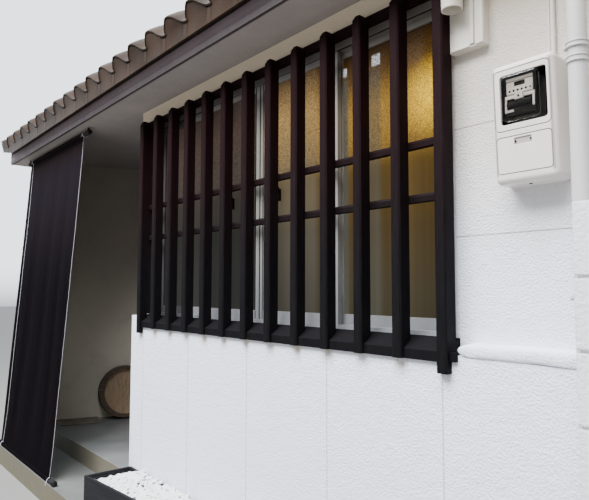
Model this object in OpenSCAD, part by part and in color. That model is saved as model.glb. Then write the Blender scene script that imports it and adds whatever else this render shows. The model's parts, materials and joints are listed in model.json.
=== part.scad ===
// Single-storey machiya townhouse with a pantile roof, a timber window lattice,
// a recessed entrance porch and a hung entrance curtain.
// Millimetres. X runs along the street front, Y runs into the house, Z is up.
// X = 0 is the middle of the frontage, Y = 0 is the face of the upper front wall
// and Z = 0 is the lowest ground at the street.

/* [House] */
// Frontage over the outer faces of the two party walls
front_w = 6380; // [6200:10:7200]
// Depth from the upper front wall's face to the back wall's outer face
house_d = 5460; // [4400:10:7000]
// Thickness of the front, back and porch walls
wall_t = 120; // [100:5:150]
// Thickness of the party walls
party_t = 150; // [120:5:180]
// Length of the front wall, from the porch's corner to the right edge
wall_l = 3713; // [3400:1:3900]
// How far the lower front wall stands proud of the upper one
proud = 60; // [50:1:80]
// Top of the lower front wall
low_wall_z = 1525; // [1400:5:1600]
// Height of the plaster ledge on the lower front wall
ledge_h = 58; // [45:1:80]
// How far the plaster ledge stands out from the lower front wall
ledge_out = 8; // [4:1:20]

/* [Eaves and roof] */
// Underside of the soffit
soffit_z = 3188; // [3100:1:3400]
// Thickness of the soffit board
soffit_t = 12; // [9:1:20]
// Overhang from the upper wall to the outer face of the fascia
eaves_out = 300; // [260:5:400]
// Thickness of the fascia
fascia_t = 20; // [15:1:30]
// Lip of the fascia below the soffit
fascia_lip = 8; // [5:1:15]
// Top of the fascia above the soffit's underside, at its outer face
fascia_rise = 95; // [80:1:130]
// Overhang of the roof boards and the fascia past the party walls
gable_out = 70; // [50:5:80]
// Roof pitch in degrees
roof_pitch = 28; // [24:1:32]
// Rafters and boards together, measured upright
deck_h = 110; // [90:5:140]
// Thickness of the verge boards
verge_t = 25; // [18:1:30]

/* [Roof tiles] */
// Spacing of the tile rolls
tile_pitch = 265; // [255:1:270]
// Least overhang of the tiles past the roof boards at the verges
verge_out = 130; // [110:5:160]
// Thickness of a tile in its pan
tile_t = 18; // [15:1:22]
// Height of a roll above the pan
roll_h = 73; // [60:1:80]
// Overhang of the tiles past the fascia
tile_out = 90; // [70:5:110]
// Lower edge of the eaves tiles below the top of the fascia
apron_drop = 39; // [20:1:60]
// Thickness of the apron of an eaves tile
apron_t = 20; // [15:1:25]
// Drop of the verge tiles' flaps below the roof boards' top
flap_h = 55; // [40:5:90]
// Thickness of a verge tile's flap
flap_t = 18; // [15:1:22]
// Length of the slanted end of the eaves tiles' apron
apron_slant = 390; // [100:10:420]
// Half the width of the ridge's base
ridge_half = 90; // [80:5:120]
// Height of the ridge's stacked courses
ridge_h = 120; // [90:5:180]
// Number of the ridge's stacked courses
ridge_courses = 4; // [2:1:5]
// Radius of the round ridge cap
ridge_r = 75; // [60:1:80]

/* [Porch] */
// Depth of the porch from the upper wall's face
porch_d = 1350; // [1200:10:1600]
// Width of the nib that closes the front of the porch's side wall
nib_w = 314; // [280:1:340]
// Angle between the porch's side wall and the line square to the street
porch_skew = 15; // [8:1:15]
// Thickness of the porch's side wall
lining_t = 100; // [80:5:110]
// Top of the entrance platform and the floor
platform_z = 344; // [300:1:400]
// Thickness of the floor
floor_t = 150; // [120:10:200]
// Top of the lower platform and its kerb
kerb_z = 181; // [150:1:220]
// Street line in front of the upper wall's face
street_y = 415; // [380:5:450]
// Wall beside the entrance door opening, on each side
door_side = 175; // [120:5:300]
// Height of the entrance door opening
door_h = 2000; // [1900:10:2100]

/* [Window] */
// Middle of an end post to the near side of the window opening
window_in = 43.5; // [36:0.5:60]
// Top of the window opening
window_top = 3045; // [2900:5:3060]
// Width of the outer frame's members
frame_w = 27; // [20:1:35]
// Depth of the outer frame
frame_d = 80; // [70:5:90]
// Height of the outer frame's head
frame_head = 38; // [30:1:50]
// Setback of the outer frame from the wall's face
frame_in = 22; // [10:1:28]
// Width of a sash's stiles
stile_w = 39; // [30:1:45]
// Height of a sash's bottom rail
sash_foot = 52; // [45:1:70]
// Height of a sash's top rail
sash_head = 33; // [28:1:45]
// Thickness of a sash
sash_t = 25; // [20:1:28]
// Thickness of a pane
pane_t = 5; // [4:1:6]

/* [Lattice] */
// Spacing of the bars
bar_pitch = 227.25; // [220:0.25:227.25]
// Front wall's corner to the middle of the first bar
lattice_in = 169.5; // [150:0.5:220]
// Room for the services between the last bar's middle and the right edge
services_w = 800; // [770:1:900]
// Width of a bar
bar_w = 52.5; // [45:0.5:70]
// Depth of a bar
bar_d = 63.5; // [45:0.5:70]
// Gap between the bars' back faces and the upper wall
bar_gap = 29; // [26:1:45]
// Top of the bars
lattice_top = 3069; // [2950:1:3080]
// Arris chamfer of the bars
bar_chamfer = 7; // [3:1:10]
// Height of the bevelled top of a bar
cap_h = 29; // [10:1:40]
// Inset of the bevelled top of a bar
cap_in = 14; // [6:1:20]
// Length of the end posts below the sill
post_tail = 42; // [20:1:60]
// Top of the top rail
top_rail_z = 3076; // [2950:1:3090]
// Height of the top rail
top_rail_h = 47; // [40:1:70]
// Height of a middle rail
mid_rail_h = 36; // [28:1:45]
// Top of the upper middle rail
rail_a_z = 2425; // [2350:1:2500]
// Top of the lower middle rail
rail_b_z = 2191; // [2100:1:2250]
// Height of the sill's front lip
sill_lip = 42; // [28:1:50]
// Top of the sill's lip above the top of the lower front wall
lip_above = 16; // [8:1:24]
// Back of the sill above the plaster ledge
sill_rise = 10; // [0:1:20]
// Thickness of the sill's front lip in front of the lower wall
sill_t = 15; // [12:1:20]
// Length of the sill's end past the last post
sill_stub = 29; // [10:1:40]

/* [Meter and services] */
// Width of the meter box
meter_w = 235; // [200:5:260]
// Height of the meter box
meter_h = 435; // [380:5:480]
// Depth of the meter box at its foot
meter_d = 101; // [80:1:130]
// How much further the head of the meter box stands out than its foot
meter_slant = 21; // [0:1:30]
// Radius of the meter box's front edges
meter_edge = 24; // [12:1:30]
// Right edge of the house to the near side of the meter box
meter_in = 330; // [315:5:340]
// Underside of the meter box
meter_z = 2160; // [2000:5:2400]
// Corner radius of the meter box
meter_r = 28; // [15:1:40]
// Diameter of the downpipe
pipe_dia = 60; // [50:1:75]
// Middle of the downpipe from the house's right edge
pipe_in = 250; // [240:1:270]
// Underside of the downpipe's collar
collar_z = 2521; // [2400:1:2700]
// Height of the downpipe's collar
collar_h = 20; // [15:1:60]
// Gap between the collar and the strap above it
strap_gap = 29; // [10:1:60]
// Height of the downpipe's straps
strap_h = 18; // [12:1:30]
// Underside of the downpipe's lower strap
strap_z = 1750; // [1650:10:2000]
// Clear way between the downpipe and the plaster ledge
pipe_gap = 18; // [8:1:30]
// Diameter of the wider conduit
conduit_dia = 17; // [12:1:22]
// Diameter of the narrower conduit
thin_dia = 9; // [8:1:14]
// Width of the service board
board_w = 154; // [120:1:170]
// Underside of the service board
board_z = 2740; // [2700:5:2850]
// Height of the service board
board_h = 360; // [250:5:400]
// Thickness of the service board
board_t = 38; // [18:1:45]
// Radius of the service board's cap
cap_r = 42; // [30:1:50]

/* [Block wall] */
// Thickness of the block wall
block_t = 148; // [120:1:150]
// Height of the block wall
block_wall_h = 2025; // [1650:25:2200]
// Height of one course
course_h = 200; // [190:1:210]
// Height of a mortar joint
joint_h = 9; // [6:1:12]
// Depth of a mortar joint
joint_in = 7; // [4:1:10]

/* [Planter and tub] */
// Length of the planter
planter_l = 1800; // [1200:10:2200]
// Height of the planter
planter_h = 262; // [200:1:300]
// Thickness of the planter's boards
planter_t = 20; // [15:1:25]
// Front wall's corner to the planter's near end
planter_in = 30; // [10:1:60]
// Angle of the planter's front board to the wall
planter_skew = 5; // [2:0.5:5]
// Depth of the stone bed below the planter's rim
bed_drop = 35; // [20:1:60]
// Diameter of the round tub
tub_dia = 570; // [500:5:640]
// Depth of the round tub
tub_d = 110; // [80:5:140]
// Thickness of the tub's bottom
tub_base = 25; // [15:1:40]
// Thickness of the tub's staves
stave_t = 16; // [12:1:25]
// Backward lean of the tub in degrees
tub_lean = 8; // [5:1:12]
// Middle of the tub along the porch's side wall
tub_along = 850; // [700:5:950]

/* [Curtain] */
// Diameter of the curtain's rods
rod_dia = 40; // [24:1:44]
// Clear way between the curtain and the front wall's corner
curtain_gap = 777; // [700:1:1000]
// Left party wall's outer face to the curtain's left edge
curtain_in = 300; // [280:5:400]
// Thickness of the plain curtain solid
curtain_t = 6; // [4:1:10]
// Top rod in front of the upper wall's face
rod_top_y = 184; // [150:1:220]
// Middle of the top rod below the soffit
rod_drop = 42; // [35:1:60]
// Length of the top rod past the curtain on the right
rod_past = 125; // [60:5:220]
// Diameter of the curtain's edge cords
cord_dia = 6; // [4:1:8]
// Edge of the curtain to the cord in front of it
cord_in = 60; // [20:5:90]

/* [Hidden] */
$fn = 48;

// The frontage and the walls
x_left = -front_w / 2;
x_right = front_w / 2;
corner_x = x_right - wall_l;
back_y = house_d;
mid_y = house_d / 2;
ledge_z = low_wall_z + ledge_h;
slope = tan(roof_pitch);
fascia_top = soffit_z + fascia_rise;
deck_x = front_w / 2 + gable_out;

// Underside of the roof boards on the front slope
function deck_z(y) = fascia_top + slope * (y + eaves_out);

// The porch: face of its side wall at a depth y
lining_x0 = x_left + nib_w;
function lining_x(y) = lining_x0 + tan(porch_skew) * y;
room_corner_x = corner_x + wall_t;
room_back_y = porch_d + wall_t;
door_x = lining_x(porch_d) + door_side;
door_w = corner_x - door_side - door_x;

// The lattice: as many bars as the wall has room for
bar_x0 = corner_x + lattice_in;
bars = 1 + floor((wall_l - lattice_in - services_w) / bar_pitch + 0.01);
bar_x1 = bar_x0 + (bars - 1) * bar_pitch;
bar_back = -bar_gap;
bar_front = bar_back - bar_d;
lip_y = -proud - sill_t;
lip_top = low_wall_z + lip_above;
lip_z = lip_top - sill_lip;
sill_back_z = ledge_z + sill_rise;
function sill_z(y) = lip_top + (sill_back_z - lip_top) * (y - lip_y) / -lip_y;
lattice_x0 = bar_x0 - bar_w / 2;
lattice_x1 = bar_x1 + bar_w / 2;

// The windows
window_x0 = bar_x0 + window_in;
window_x1 = bar_x1 - window_in;
window_w = window_x1 - window_x0;
back_window_x0 = -window_w / 2;

// The tiles: enough rolls to cover the roof boards. Roll widths are shares of
// the spacing, to the left and the right of a crest.
tile_y = -eaves_out - tile_out;
roll_left = 0.28;
roll_right = 0.40;
last_pan = 0.62;
crest_cut = 8;
field_w = 2 * (deck_x + verge_out);
tile_rolls = 1 + ceil(field_w / tile_pitch - last_pan);
tile_x0 = -tile_pitch * (tile_rolls - 1 + last_pan) / 2 + crest_cut / 2;
field_x0 = tile_x0 - crest_cut;
field_x1 = tile_x0 + (tile_rolls - 1 + last_pan) * tile_pitch;
roll_steps = concat(
    [for (k = [-4 : -1]) roll_left * k / 4], [for (k = [0 : 5]) roll_right * k / 5]
);
function tile_base_z(y) = deck_z(y) + deck_h;
function roll_shape(u) = u < 0 ? (1 + cos(180 * u / roll_left)) / 2 : (1 + cos(180 * u / roll_right)) / 2;

// The services
meter_x = x_right - meter_in - meter_w;
board_x = lattice_x1 + 1;
pipe_x = x_right - pipe_in;
pipe_y = -proud - ledge_out - pipe_gap - pipe_dia / 2;

// The planter and the tub
planter_x = corner_x + planter_in;
planter_y = -street_y + 2;

// The curtain
curtain_x0 = x_left + curtain_in;
curtain_x1 = corner_x - curtain_gap;
curtain_w = curtain_x1 - curtain_x0;
rod_r = rod_dia / 2;
rod_hi = [-rod_top_y, soffit_z - rod_drop];
rod_lo = [-street_y + rod_r, kerb_z + rod_r];
hang = rod_lo - rod_hi;
hang_len = norm(hang);
hang_dir = hang / hang_len;
hang_out = [-hang_dir[1], hang_dir[0]];
hang_play = 0.3;
hang_top = rod_hi + hang_dir * (rod_r + hang_play);
hang_drop = hang_len - 2 * (rod_r + hang_play);

module block(low, high) {
    translate(low) cube(high - low);
}

// Extrudes a Y, Z outline along X
module along_x(x0, x1) {
    translate([x0, 0, 0]) rotate([90, 0, 90]) linear_extrude(x1 - x0) children();
}

// Extrudes an X, Z outline along Y
module along_y(y0, y1) {
    translate([0, y1, 0]) rotate([90, 0, 0]) linear_extrude(y1 - y0) children();
}

// Extrudes an X, Y outline along Z
module along_z(z0, z1) {
    translate([0, 0, z0]) linear_extrude(z1 - z0) children();
}

// Turns a piece of the front into the same piece at the back
module to_back() {
    translate([0, house_d, 0]) mirror([0, 1, 0]) children();
}

// Sets a piece against the porch's side wall: local X is the wall's outward
// normal and local Y runs along it
module at_lining() {
    translate([lining_x0, 0, 0]) rotate([0, 0, -porch_skew]) children();
}

module lower_platform() {
    color("darkgray")
    along_z(0, kerb_z)
    polygon([
        [x_left, -street_y], [planter_x + planter_l, -street_y],
        [planter_x + planter_l, -proud], [corner_x, -proud], [corner_x, 0],
        [lining_x0, 0], [lining_x0, -proud], [x_left, -proud]
    ]);
}

module entrance_platform() {
    color("gray")
    along_z(0, platform_z)
    polygon([
        [lining_x0, 0], [corner_x, 0], [corner_x, porch_d], [lining_x(porch_d), porch_d]
    ]);
}

// A thin, worn slab along the foot of the porch's side wall, in plan
slab_t = 16;
slab_plan = [[0, 122], [74, 140], [277, 186], [272, 450], [248, 592], [120, 612], [0, 566]];

module foot_stone() {
    color("dimgray")
    at_lining() along_z(platform_z, platform_z + slab_t) polygon(slab_plan);
}

module interior_floor() {
    color("tan")
    along_z(platform_z - floor_t, platform_z)
    polygon([
        [room_corner_x, wall_t], [x_right - party_t, wall_t],
        [x_right - party_t, back_y - wall_t], [x_left + party_t, back_y - wall_t],
        [x_left + party_t, room_back_y], [room_corner_x, room_back_y]
    ]);
}

// The lower part stands proud. Left of the lattice it runs up to the ledge's top.
module front_wall() {
    color("whitesmoke")
    difference() {
        union() {
            along_x(corner_x, x_right)
            polygon([
                [-proud, 0], [wall_t, 0], [wall_t, deck_z(wall_t)], [0, deck_z(0)],
                [0, low_wall_z], [-proud, low_wall_z]
            ]);
            block([corner_x, -proud, low_wall_z - 1], [lattice_x0, 1, ledge_z]);
        }
        block([window_x0, -1, ledge_z], [window_x1, wall_t + 1, window_top]);
    }
}

// A trowelled band on top of the lower wall, right of the lattice
module wall_ledge() {
    face = -proud - ledge_out;
    shoulder = 14;
    nose = 5;
    color("white")
    along_x(lattice_x1 + sill_stub, x_right - block_t)
    polygon([
        [0, low_wall_z], [0, ledge_z], [face + shoulder, ledge_z - nose],
        [face + nose, ledge_z - shoulder], [face, ledge_z - 2 * shoulder],
        [face, low_wall_z + nose], [face + nose, low_wall_z]
    ]);
}

// A gable-topped wall along Y between two X planes
module gable_wall(x0, x1, y0, y1) {
    along_x(x0, x1)
    polygon([
        [y0, 0], [y1, 0], [y1, deck_z(back_y - y1)], [mid_y, deck_z(mid_y)], [y0, deck_z(y0)]
    ]);
}

module left_party_wall() {
    color("gainsboro") {
        gable_wall(x_left, x_left + party_t, 0, back_y - wall_t);
        block([x_left, -proud, 0], [lining_x0, 0, soffit_z]);
    }
}

module right_party_wall() {
    color("gainsboro") gable_wall(x_right - party_t, x_right, wall_t, back_y - wall_t);
}

module porch_side_wall() {
    back_x = lining_t / cos(porch_skew);
    color("beige")
    along_z(0, soffit_z)
    polygon([
        [lining_x0 - back_x, 0], [lining_x0, 0],
        [lining_x(porch_d), porch_d], [lining_x(porch_d) - back_x, porch_d]
    ]);
}

module porch_return_wall() {
    color("whitesmoke")
    along_x(corner_x, room_corner_x)
    polygon([
        [wall_t, 0], [porch_d, 0], [porch_d, deck_z(porch_d)], [wall_t, deck_z(wall_t)]
    ]);
}

module porch_back_wall() {
    color("beige")
    difference() {
        along_x(x_left + party_t, room_corner_x)
        polygon([
            [porch_d, 0], [room_back_y, 0],
            [room_back_y, deck_z(room_back_y)], [porch_d, deck_z(porch_d)]
        ]);
        block([door_x, porch_d - 1, platform_z],
              [door_x + door_w, room_back_y + 1, platform_z + door_h]);
    }
}

// A door leaf with a plain foot and upright bars above it
module door_leaf(x, y, z, width, height) {
    leaf_t = 30;
    stile = 60;
    foot = 500;
    recess = 14;
    bar = 18;
    gaps = 8;
    difference() {
        block([x, y, z], [x + width, y + leaf_t, z + height]);
        block([x + stile, y - 1, z + foot], [x + width - stile, y + recess, z + height - stile]);
    }
    for (k = [1 : gaps - 1])
        translate([x + stile + k * (width - 2 * stile) / gaps - bar / 2, y + 2, z + foot])
        cube([bar, recess - 2, height - foot - stile]);
}

// A pair of plain timber doors in a timber frame
module entrance_door() {
    jamb = 35;
    frame_t = 80;
    saddle = 20;
    y0 = porch_d + 20;
    leaf_x0 = door_x + jamb;
    leaf_w = (door_w - 2 * jamb) / 2;
    leaf_z0 = platform_z + saddle;
    leaf_z1 = platform_z + door_h - jamb;
    color("saddlebrown") {
        difference() {
            block([door_x, y0, platform_z], [door_x + door_w, y0 + frame_t, platform_z + door_h]);
            block([leaf_x0, y0 - 1, leaf_z0], [leaf_x0 + 2 * leaf_w, y0 + frame_t + 1, leaf_z1]);
        }
        for (side = [0, 1])
            door_leaf(leaf_x0 + side * leaf_w, y0 + 10, leaf_z0, leaf_w, leaf_z1 - leaf_z0);
    }
}

module back_wall() {
    color("whitesmoke")
    difference() {
        to_back()
        along_x(x_left, x_right)
        polygon([[0, 0], [wall_t, 0], [wall_t, deck_z(wall_t)], [0, deck_z(0)]]);
        block([back_window_x0, back_y - wall_t - 1, ledge_z],
              [back_window_x0 + window_w, back_y + 1, window_top]);
    }
}

module porch_ceiling() {
    color("silver")
    along_z(soffit_z, soffit_z + soffit_t)
    polygon([[lining_x0, 0], [corner_x, 0], [corner_x, porch_d], [lining_x(porch_d), porch_d]]);
}

module soffit() {
    block([-deck_x, fascia_t - eaves_out, soffit_z], [deck_x, 0, soffit_z + soffit_t]);
}

module soffit_front() {
    color("silver") soffit();
}

module soffit_back() {
    color("silver") to_back() soffit();
}

module fascia() {
    along_x(-deck_x, deck_x)
    polygon([
        [-eaves_out, soffit_z - fascia_lip], [fascia_t - eaves_out, soffit_z - fascia_lip],
        [fascia_t - eaves_out, deck_z(fascia_t - eaves_out)], [-eaves_out, fascia_top]
    ]);
}

module fascia_front() {
    color("gray") fascia();
}

module fascia_back() {
    color("gray") to_back() fascia();
}

module roof_deck() {
    along_x(-deck_x, deck_x)
    polygon([
        [-eaves_out, fascia_top], [mid_y, deck_z(mid_y)],
        [mid_y, tile_base_z(mid_y)], [-eaves_out, tile_base_z(-eaves_out)]
    ]);
}

module roof_deck_front() {
    color("burlywood") roof_deck();
}

module roof_deck_back() {
    color("burlywood") to_back() roof_deck();
}

// Upper outline of the tiles across the slope, from left to right, for a pan
// at a height base and rolls of a height rise. The first roll is cut at its crest.
function tile_wave(base, rise) = concat([[field_x0, base + rise]], [
    for (k = [0 : tile_rolls - 1], u = roll_steps)
        if (k > 0 || u >= 0)
            [tile_x0 + (k + u) * tile_pitch, base + rise * roll_shape(u)]
]);

module tile_field() {
    run = (mid_y - ridge_half - tile_y) / cos(roof_pitch);
    start = 200;
    difference() {
        translate([0, tile_y, tile_base_z(tile_y)])
        rotate([roof_pitch, 0, 0])
        along_y(-start, run + start)
        polygon(concat(
            [[field_x0, 0]], tile_wave(tile_t, roll_h), [[field_x1, tile_t], [field_x1, 0]]
        ));
        block([field_x0 - 1, tile_y - 2 * start, 0],
              [field_x1 + 1, tile_y + apron_t, 2 * tile_base_z(0)]);
        block([field_x0 - 1, mid_y - ridge_half, 0],
              [field_x1 + 1, mid_y + 2 * start, 2 * tile_base_z(mid_y)]);
    }
}

module roof_tiles_front() {
    color("dimgray") tile_field();
}

module roof_tiles_back() {
    color("dimgray") to_back() tile_field();
}

module eaves_tiles() {
    joint_y = tile_y + apron_t;
    pan_z = tile_base_z(joint_y) + tile_t / cos(roof_pitch);
    apron_z = fascia_top - apron_drop;
    along_y(tile_y, joint_y)
    polygon(concat(
        [[field_x0 + apron_slant, apron_z], [field_x0, tile_base_z(joint_y)]],
        tile_wave(pan_z, roll_h / cos(roof_pitch)),
        [[field_x1, pan_z], [field_x1, tile_base_z(joint_y)], [field_x1 - apron_slant, apron_z]]
    ));
}

module eaves_tiles_front() {
    color("dimgray") eaves_tiles();
}

module eaves_tiles_back() {
    color("dimgray") to_back() eaves_tiles();
}

// The flap of the verge tiles on one slope
module verge_flap(x0) {
    joint_y = tile_y + apron_t;
    along_x(x0, x0 + flap_t)
    polygon([
        [joint_y, tile_base_z(joint_y)], [-eaves_out, tile_base_z(-eaves_out) - flap_h],
        [mid_y - 1, tile_base_z(mid_y - 1) - flap_h], [mid_y - 1, tile_base_z(mid_y - 1)]
    ]);
}

module verge_tiles() {
    color("dimgray")
    for (x0 = [field_x0, field_x1 - flap_t]) {
        verge_flap(x0);
        to_back() verge_flap(x0);
    }
}

// A board along the verge whose foot closes the end of the boxed eaves
module verge_board(x0) {
    lap = 30;
    along_x(x0, x0 + verge_t)
    polygon([
        [-eaves_out, soffit_z], [0, soffit_z], [0, deck_z(0) - lap],
        [mid_y, deck_z(mid_y) - lap], [mid_y, tile_base_z(mid_y)],
        [-eaves_out, tile_base_z(-eaves_out)]
    ]);
}

// The strip that closes the boxed eaves behind a verge board
module eaves_return(x0, x1) {
    y = -fascia_t;
    along_x(x0, x1)
    polygon([
        [y, soffit_z + soffit_t], [0, soffit_z + soffit_t], [0, deck_z(0)], [y, deck_z(y)]
    ]);
}

module verge_side() {
    verge_board(-deck_x - verge_t);
    verge_board(deck_x);
    eaves_return(-deck_x, x_left);
    eaves_return(x_right, deck_x);
}

module verge_boards() {
    color("gray") {
        verge_side();
        to_back() verge_side();
    }
}

// The stacked courses of the ridge step in towards the round cap
module ridge_tiles() {
    foot = tile_base_z(mid_y - ridge_half);
    top = tile_base_z(mid_y) + ridge_h;
    course = ridge_h / ridge_courses;
    step = (ridge_half - ridge_r) / ridge_courses;
    color("dimgray")
    along_x(field_x0, field_x1) {
        polygon([
            [mid_y - ridge_half, foot], [mid_y, tile_base_z(mid_y)], [mid_y + ridge_half, foot],
            [mid_y + ridge_half, top - ridge_h + course], [mid_y, top],
            [mid_y - ridge_half, top - ridge_h + course]
        ]);
        for (k = [1 : ridge_courses - 1])
            translate([mid_y - ridge_half + k * step, top - ridge_h + k * course])
            square([2 * (ridge_half - k * step), course]);
        intersection() {
            translate([mid_y, top]) circle(r = ridge_r);
            translate([mid_y - ridge_r, top]) square([2 * ridge_r, ridge_r]);
        }
    }
}

// One bar of the lattice, or a post where tail is more than 0
module lattice_bar(x, tail) {
    half = bar_w / 2;
    cap_z = lattice_top - cap_h;
    foot_z = lip_z - tail;
    intersection() {
        along_x(x - half, x + half)
        polygon(concat(
            [[bar_front, cap_z], [bar_front + cap_in, lattice_top],
             [bar_back - cap_in, lattice_top], [bar_back, cap_z], [bar_back, sill_z(bar_back)],
             [lip_y, lip_top], [lip_y, lip_z]],
            tail > 0 ? [[-proud, lip_z], [-proud, foot_z]] : [],
            [[bar_front, foot_z]]
        ));
        along_y(bar_front, -1)
        polygon([
            [x - half, foot_z], [x - half, cap_z], [x - half + cap_in, lattice_top],
            [x + half - cap_in, lattice_top], [x + half, cap_z], [x + half, foot_z]
        ]);
        along_z(foot_z, lattice_top)
        polygon([
            [x - half, bar_front + bar_chamfer], [x - half + bar_chamfer, bar_front],
            [x + half - bar_chamfer, bar_front], [x + half, bar_front + bar_chamfer],
            [x + half, bar_back], [x - half, bar_back]
        ]);
    }
}

module lattice_bars() {
    color("#2b2422")
    for (k = [0 : bars - 1])
        lattice_bar(bar_x0 + k * bar_pitch, k == 0 || k == bars - 1 ? post_tail : 0);
}

module lattice_rail(top, height, chamfer) {
    along_x(lattice_x0, lattice_x1)
    polygon([
        [0, top - height], [0, top], [bar_back + chamfer, top],
        [bar_back, top - chamfer], [bar_back, top - height]
    ]);
}

module lattice_rails() {
    color("#2b2422") {
        lattice_rail(top_rail_z, top_rail_h, 3);
        lattice_rail(rail_a_z, mid_rail_h, 11);
        lattice_rail(rail_b_z, mid_rail_h, 11);
    }
}

module lattice_sill() {
    color("#3a3134") {
        along_x(lattice_x0, lattice_x1)
        polygon([
            [lip_y, lip_z], [-proud, lip_z], [-proud, low_wall_z], [0, low_wall_z],
            [0, sill_back_z], [lip_y, lip_top]
        ]);
        block([lattice_x1, lip_y, lip_z + 6], [lattice_x1 + sill_stub, -proud, lip_top]);
    }
}

// Depths of a window's two tracks in its frame, and the height of their guides
near_track = 6;
far_track = 39;
guide_h = 8;

// The outer frame of a sliding window whose face is at y
module sliding_frame(x0, x1, y) {
    z0 = ledge_z;
    head_z = window_top - frame_head;
    difference() {
        block([x0, y, z0], [x1, y + frame_d, window_top]);
        block([x0 + frame_w, y - 1, z0 + frame_w], [x1 - frame_w, y + frame_d + 1, head_z]);
    }
    for (track = [near_track, far_track])
        block([x0 + frame_w, y + track + sash_t + 3, head_z - guide_h],
              [x1 - frame_w, y + track + sash_t + 7, head_z]);
}

// One glazed sash as an open frame
module sash(x0, x1, y, z0, z1) {
    difference() {
        block([x0, y, z0], [x1, y + sash_t, z1]);
        block([x0 + stile_w, y - 1, z0 + sash_foot], [x1 - stile_w, y + sash_t + 1, z1 - sash_head]);
    }
}

// The four sashes between two X planes: each is [left, right, depth in the frame].
// The middle pair slides in the near track.
function sash_list(x0, x1) =
    let (a = x0 + frame_w, b = x1 - frame_w, m = (a + b) / 2, lap = stile_w / 2)
    [[a, (a + m) / 2 + lap, far_track], [(a + m) / 2 - lap, m, near_track],
     [m, (m + b) / 2 + lap, near_track], [(m + b) / 2 - lap, b, far_track]];

sash_z0 = ledge_z + frame_w;
sash_z1 = window_top - frame_head - 3;

module sliding_sashes(x0, x1, y) {
    for (s = sash_list(x0, x1))
        sash(s[0], s[1], y + s[2], sash_z0, sash_z1);
}

module sliding_panes(x0, x1, y) {
    for (s = sash_list(x0, x1))
        block([s[0] + stile_w, y + s[2] + (sash_t - pane_t) / 2, sash_z0 + sash_foot],
              [s[1] - stile_w, y + s[2] + (sash_t + pane_t) / 2, sash_z1 - sash_head]);
}

module window_frame() {
    color("lightsteelblue") sliding_frame(window_x0, window_x1, frame_in);
}

module window_sashes() {
    color("silver") sliding_sashes(window_x0, window_x1, frame_in);
}

module window_panes() {
    color("goldenrod") sliding_panes(window_x0, window_x1, frame_in);
}

module back_window() {
    x0 = back_window_x0;
    color("silver")
    to_back() {
        sliding_frame(x0, x0 + window_w, frame_in);
        sliding_sashes(x0, x0 + window_w, frame_in);
    }
}

module back_window_panes() {
    x0 = back_window_x0;
    color("lightblue") to_back() sliding_panes(x0, x0 + window_w, frame_in);
}

// A rounded upright plate as an X, Z outline
module round_plate(x0, x1, z0, z1, r) {
    hull()
    for (x = [x0 + r, x1 - r], z = [z0 + r, z1 - r])
        translate([x, z]) circle(r = r);
}

// The window of the meter box, as an X, Z outline
win_x0 = meter_x + 37;
win_x1 = meter_x + meter_w - 25;
win_z0 = meter_z + 212;
win_z1 = meter_z + meter_h - 45;
win_r = 12;

// Thickness of the meter box's shell, and of its back on the wall
meter_shell = 8;
meter_back = 6;

// Front face of the meter box at a height z
function meter_y(z) = -meter_d - meter_slant * (z - meter_z) / meter_h;

// The space between two planes behind the meter box's slanted front
module behind_meter_face(x0, x1, z0, z1, near, far) {
    along_x(x0, x1)
    polygon([
        [meter_y(z0) + near, z0], [meter_y(z1) + near, z1],
        [meter_y(z1) + far, z1], [meter_y(z0) + far, z0]
    ]);
}

module meter_body() {
    x0 = meter_x;
    x1 = meter_x + meter_w;
    z0 = meter_z;
    z1 = meter_z + meter_h;
    hull() {
        along_y(-2 * meter_edge, 0) round_plate(x0, x1, z0, z1, meter_r);
        for (x = [x0 + meter_edge, x1 - meter_edge], z = [z0 + meter_edge, z1 - meter_edge])
            translate([x, meter_y(z) + meter_edge, z]) sphere(r = meter_edge);
    }
}

module meter_box() {
    side = 2 * meter_shell;
    recess = 3;
    z0 = win_z0 - meter_shell;
    z1 = meter_z + meter_h - side;
    color("white")
    difference() {
        meter_body();
        along_x(meter_x + side, meter_x + meter_w - side)
        polygon([
            [meter_y(z0) + meter_shell, z0], [meter_y(z1) + meter_shell, z1],
            [-meter_back, z1], [-meter_back, z0]
        ]);
        along_y(meter_y(win_z1) - 1, meter_y(win_z0) + side)
        round_plate(win_x0, win_x1, win_z0, win_z1, win_r);
        behind_meter_face(meter_x + 84, meter_x + 148, meter_z + 137, meter_z + 161,
                          -recess, recess);
    }
}

module meter_unit() {
    half = 62;
    x = (win_x0 + win_x1) / 2;
    color("dimgray")
    block([x - half, -meter_d + 26, win_z0 + 14], [x + half, -meter_back, win_z1 - 18]);
}

module meter_pane() {
    margin = 5;
    pane = 3;
    color("black")
    behind_meter_face(win_x0 - margin, win_x1 + margin, win_z0 - margin, win_z1 + margin,
                      meter_shell, meter_shell + pane);
}

// A board with a cap that is open underneath and held off by an arm
module service_board() {
    cap = [board_x + 45, -board_t - 49, board_z + 153];
    cap_len = 130;
    shell = 5;
    hollow_h = 90;
    arm = 30;
    color("white") {
        block([board_x, -board_t, board_z], [board_x + board_w, 0, board_z + board_h]);
        difference() {
            translate(cap) cylinder(r = cap_r, h = cap_len);
            translate(cap - [0, 0, 1]) cylinder(r = cap_r - shell, h = hollow_h + 1);
        }
        block([cap[0] - arm / 2, cap[1] + cap_r - shell, cap[2] + hollow_h],
              [cap[0] + arm / 2, -board_t, cap[2] + hollow_h + arm]);
    }
}

module conduit(x, dia) {
    top = meter_z + meter_h;
    translate([x, -dia / 2, top]) cylinder(d = dia, h = soffit_z - top);
}

module conduits() {
    color("whitesmoke") {
        conduit(meter_x + 170, thin_dia);
        conduit(meter_x + 186, conduit_dia);
    }
}

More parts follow.
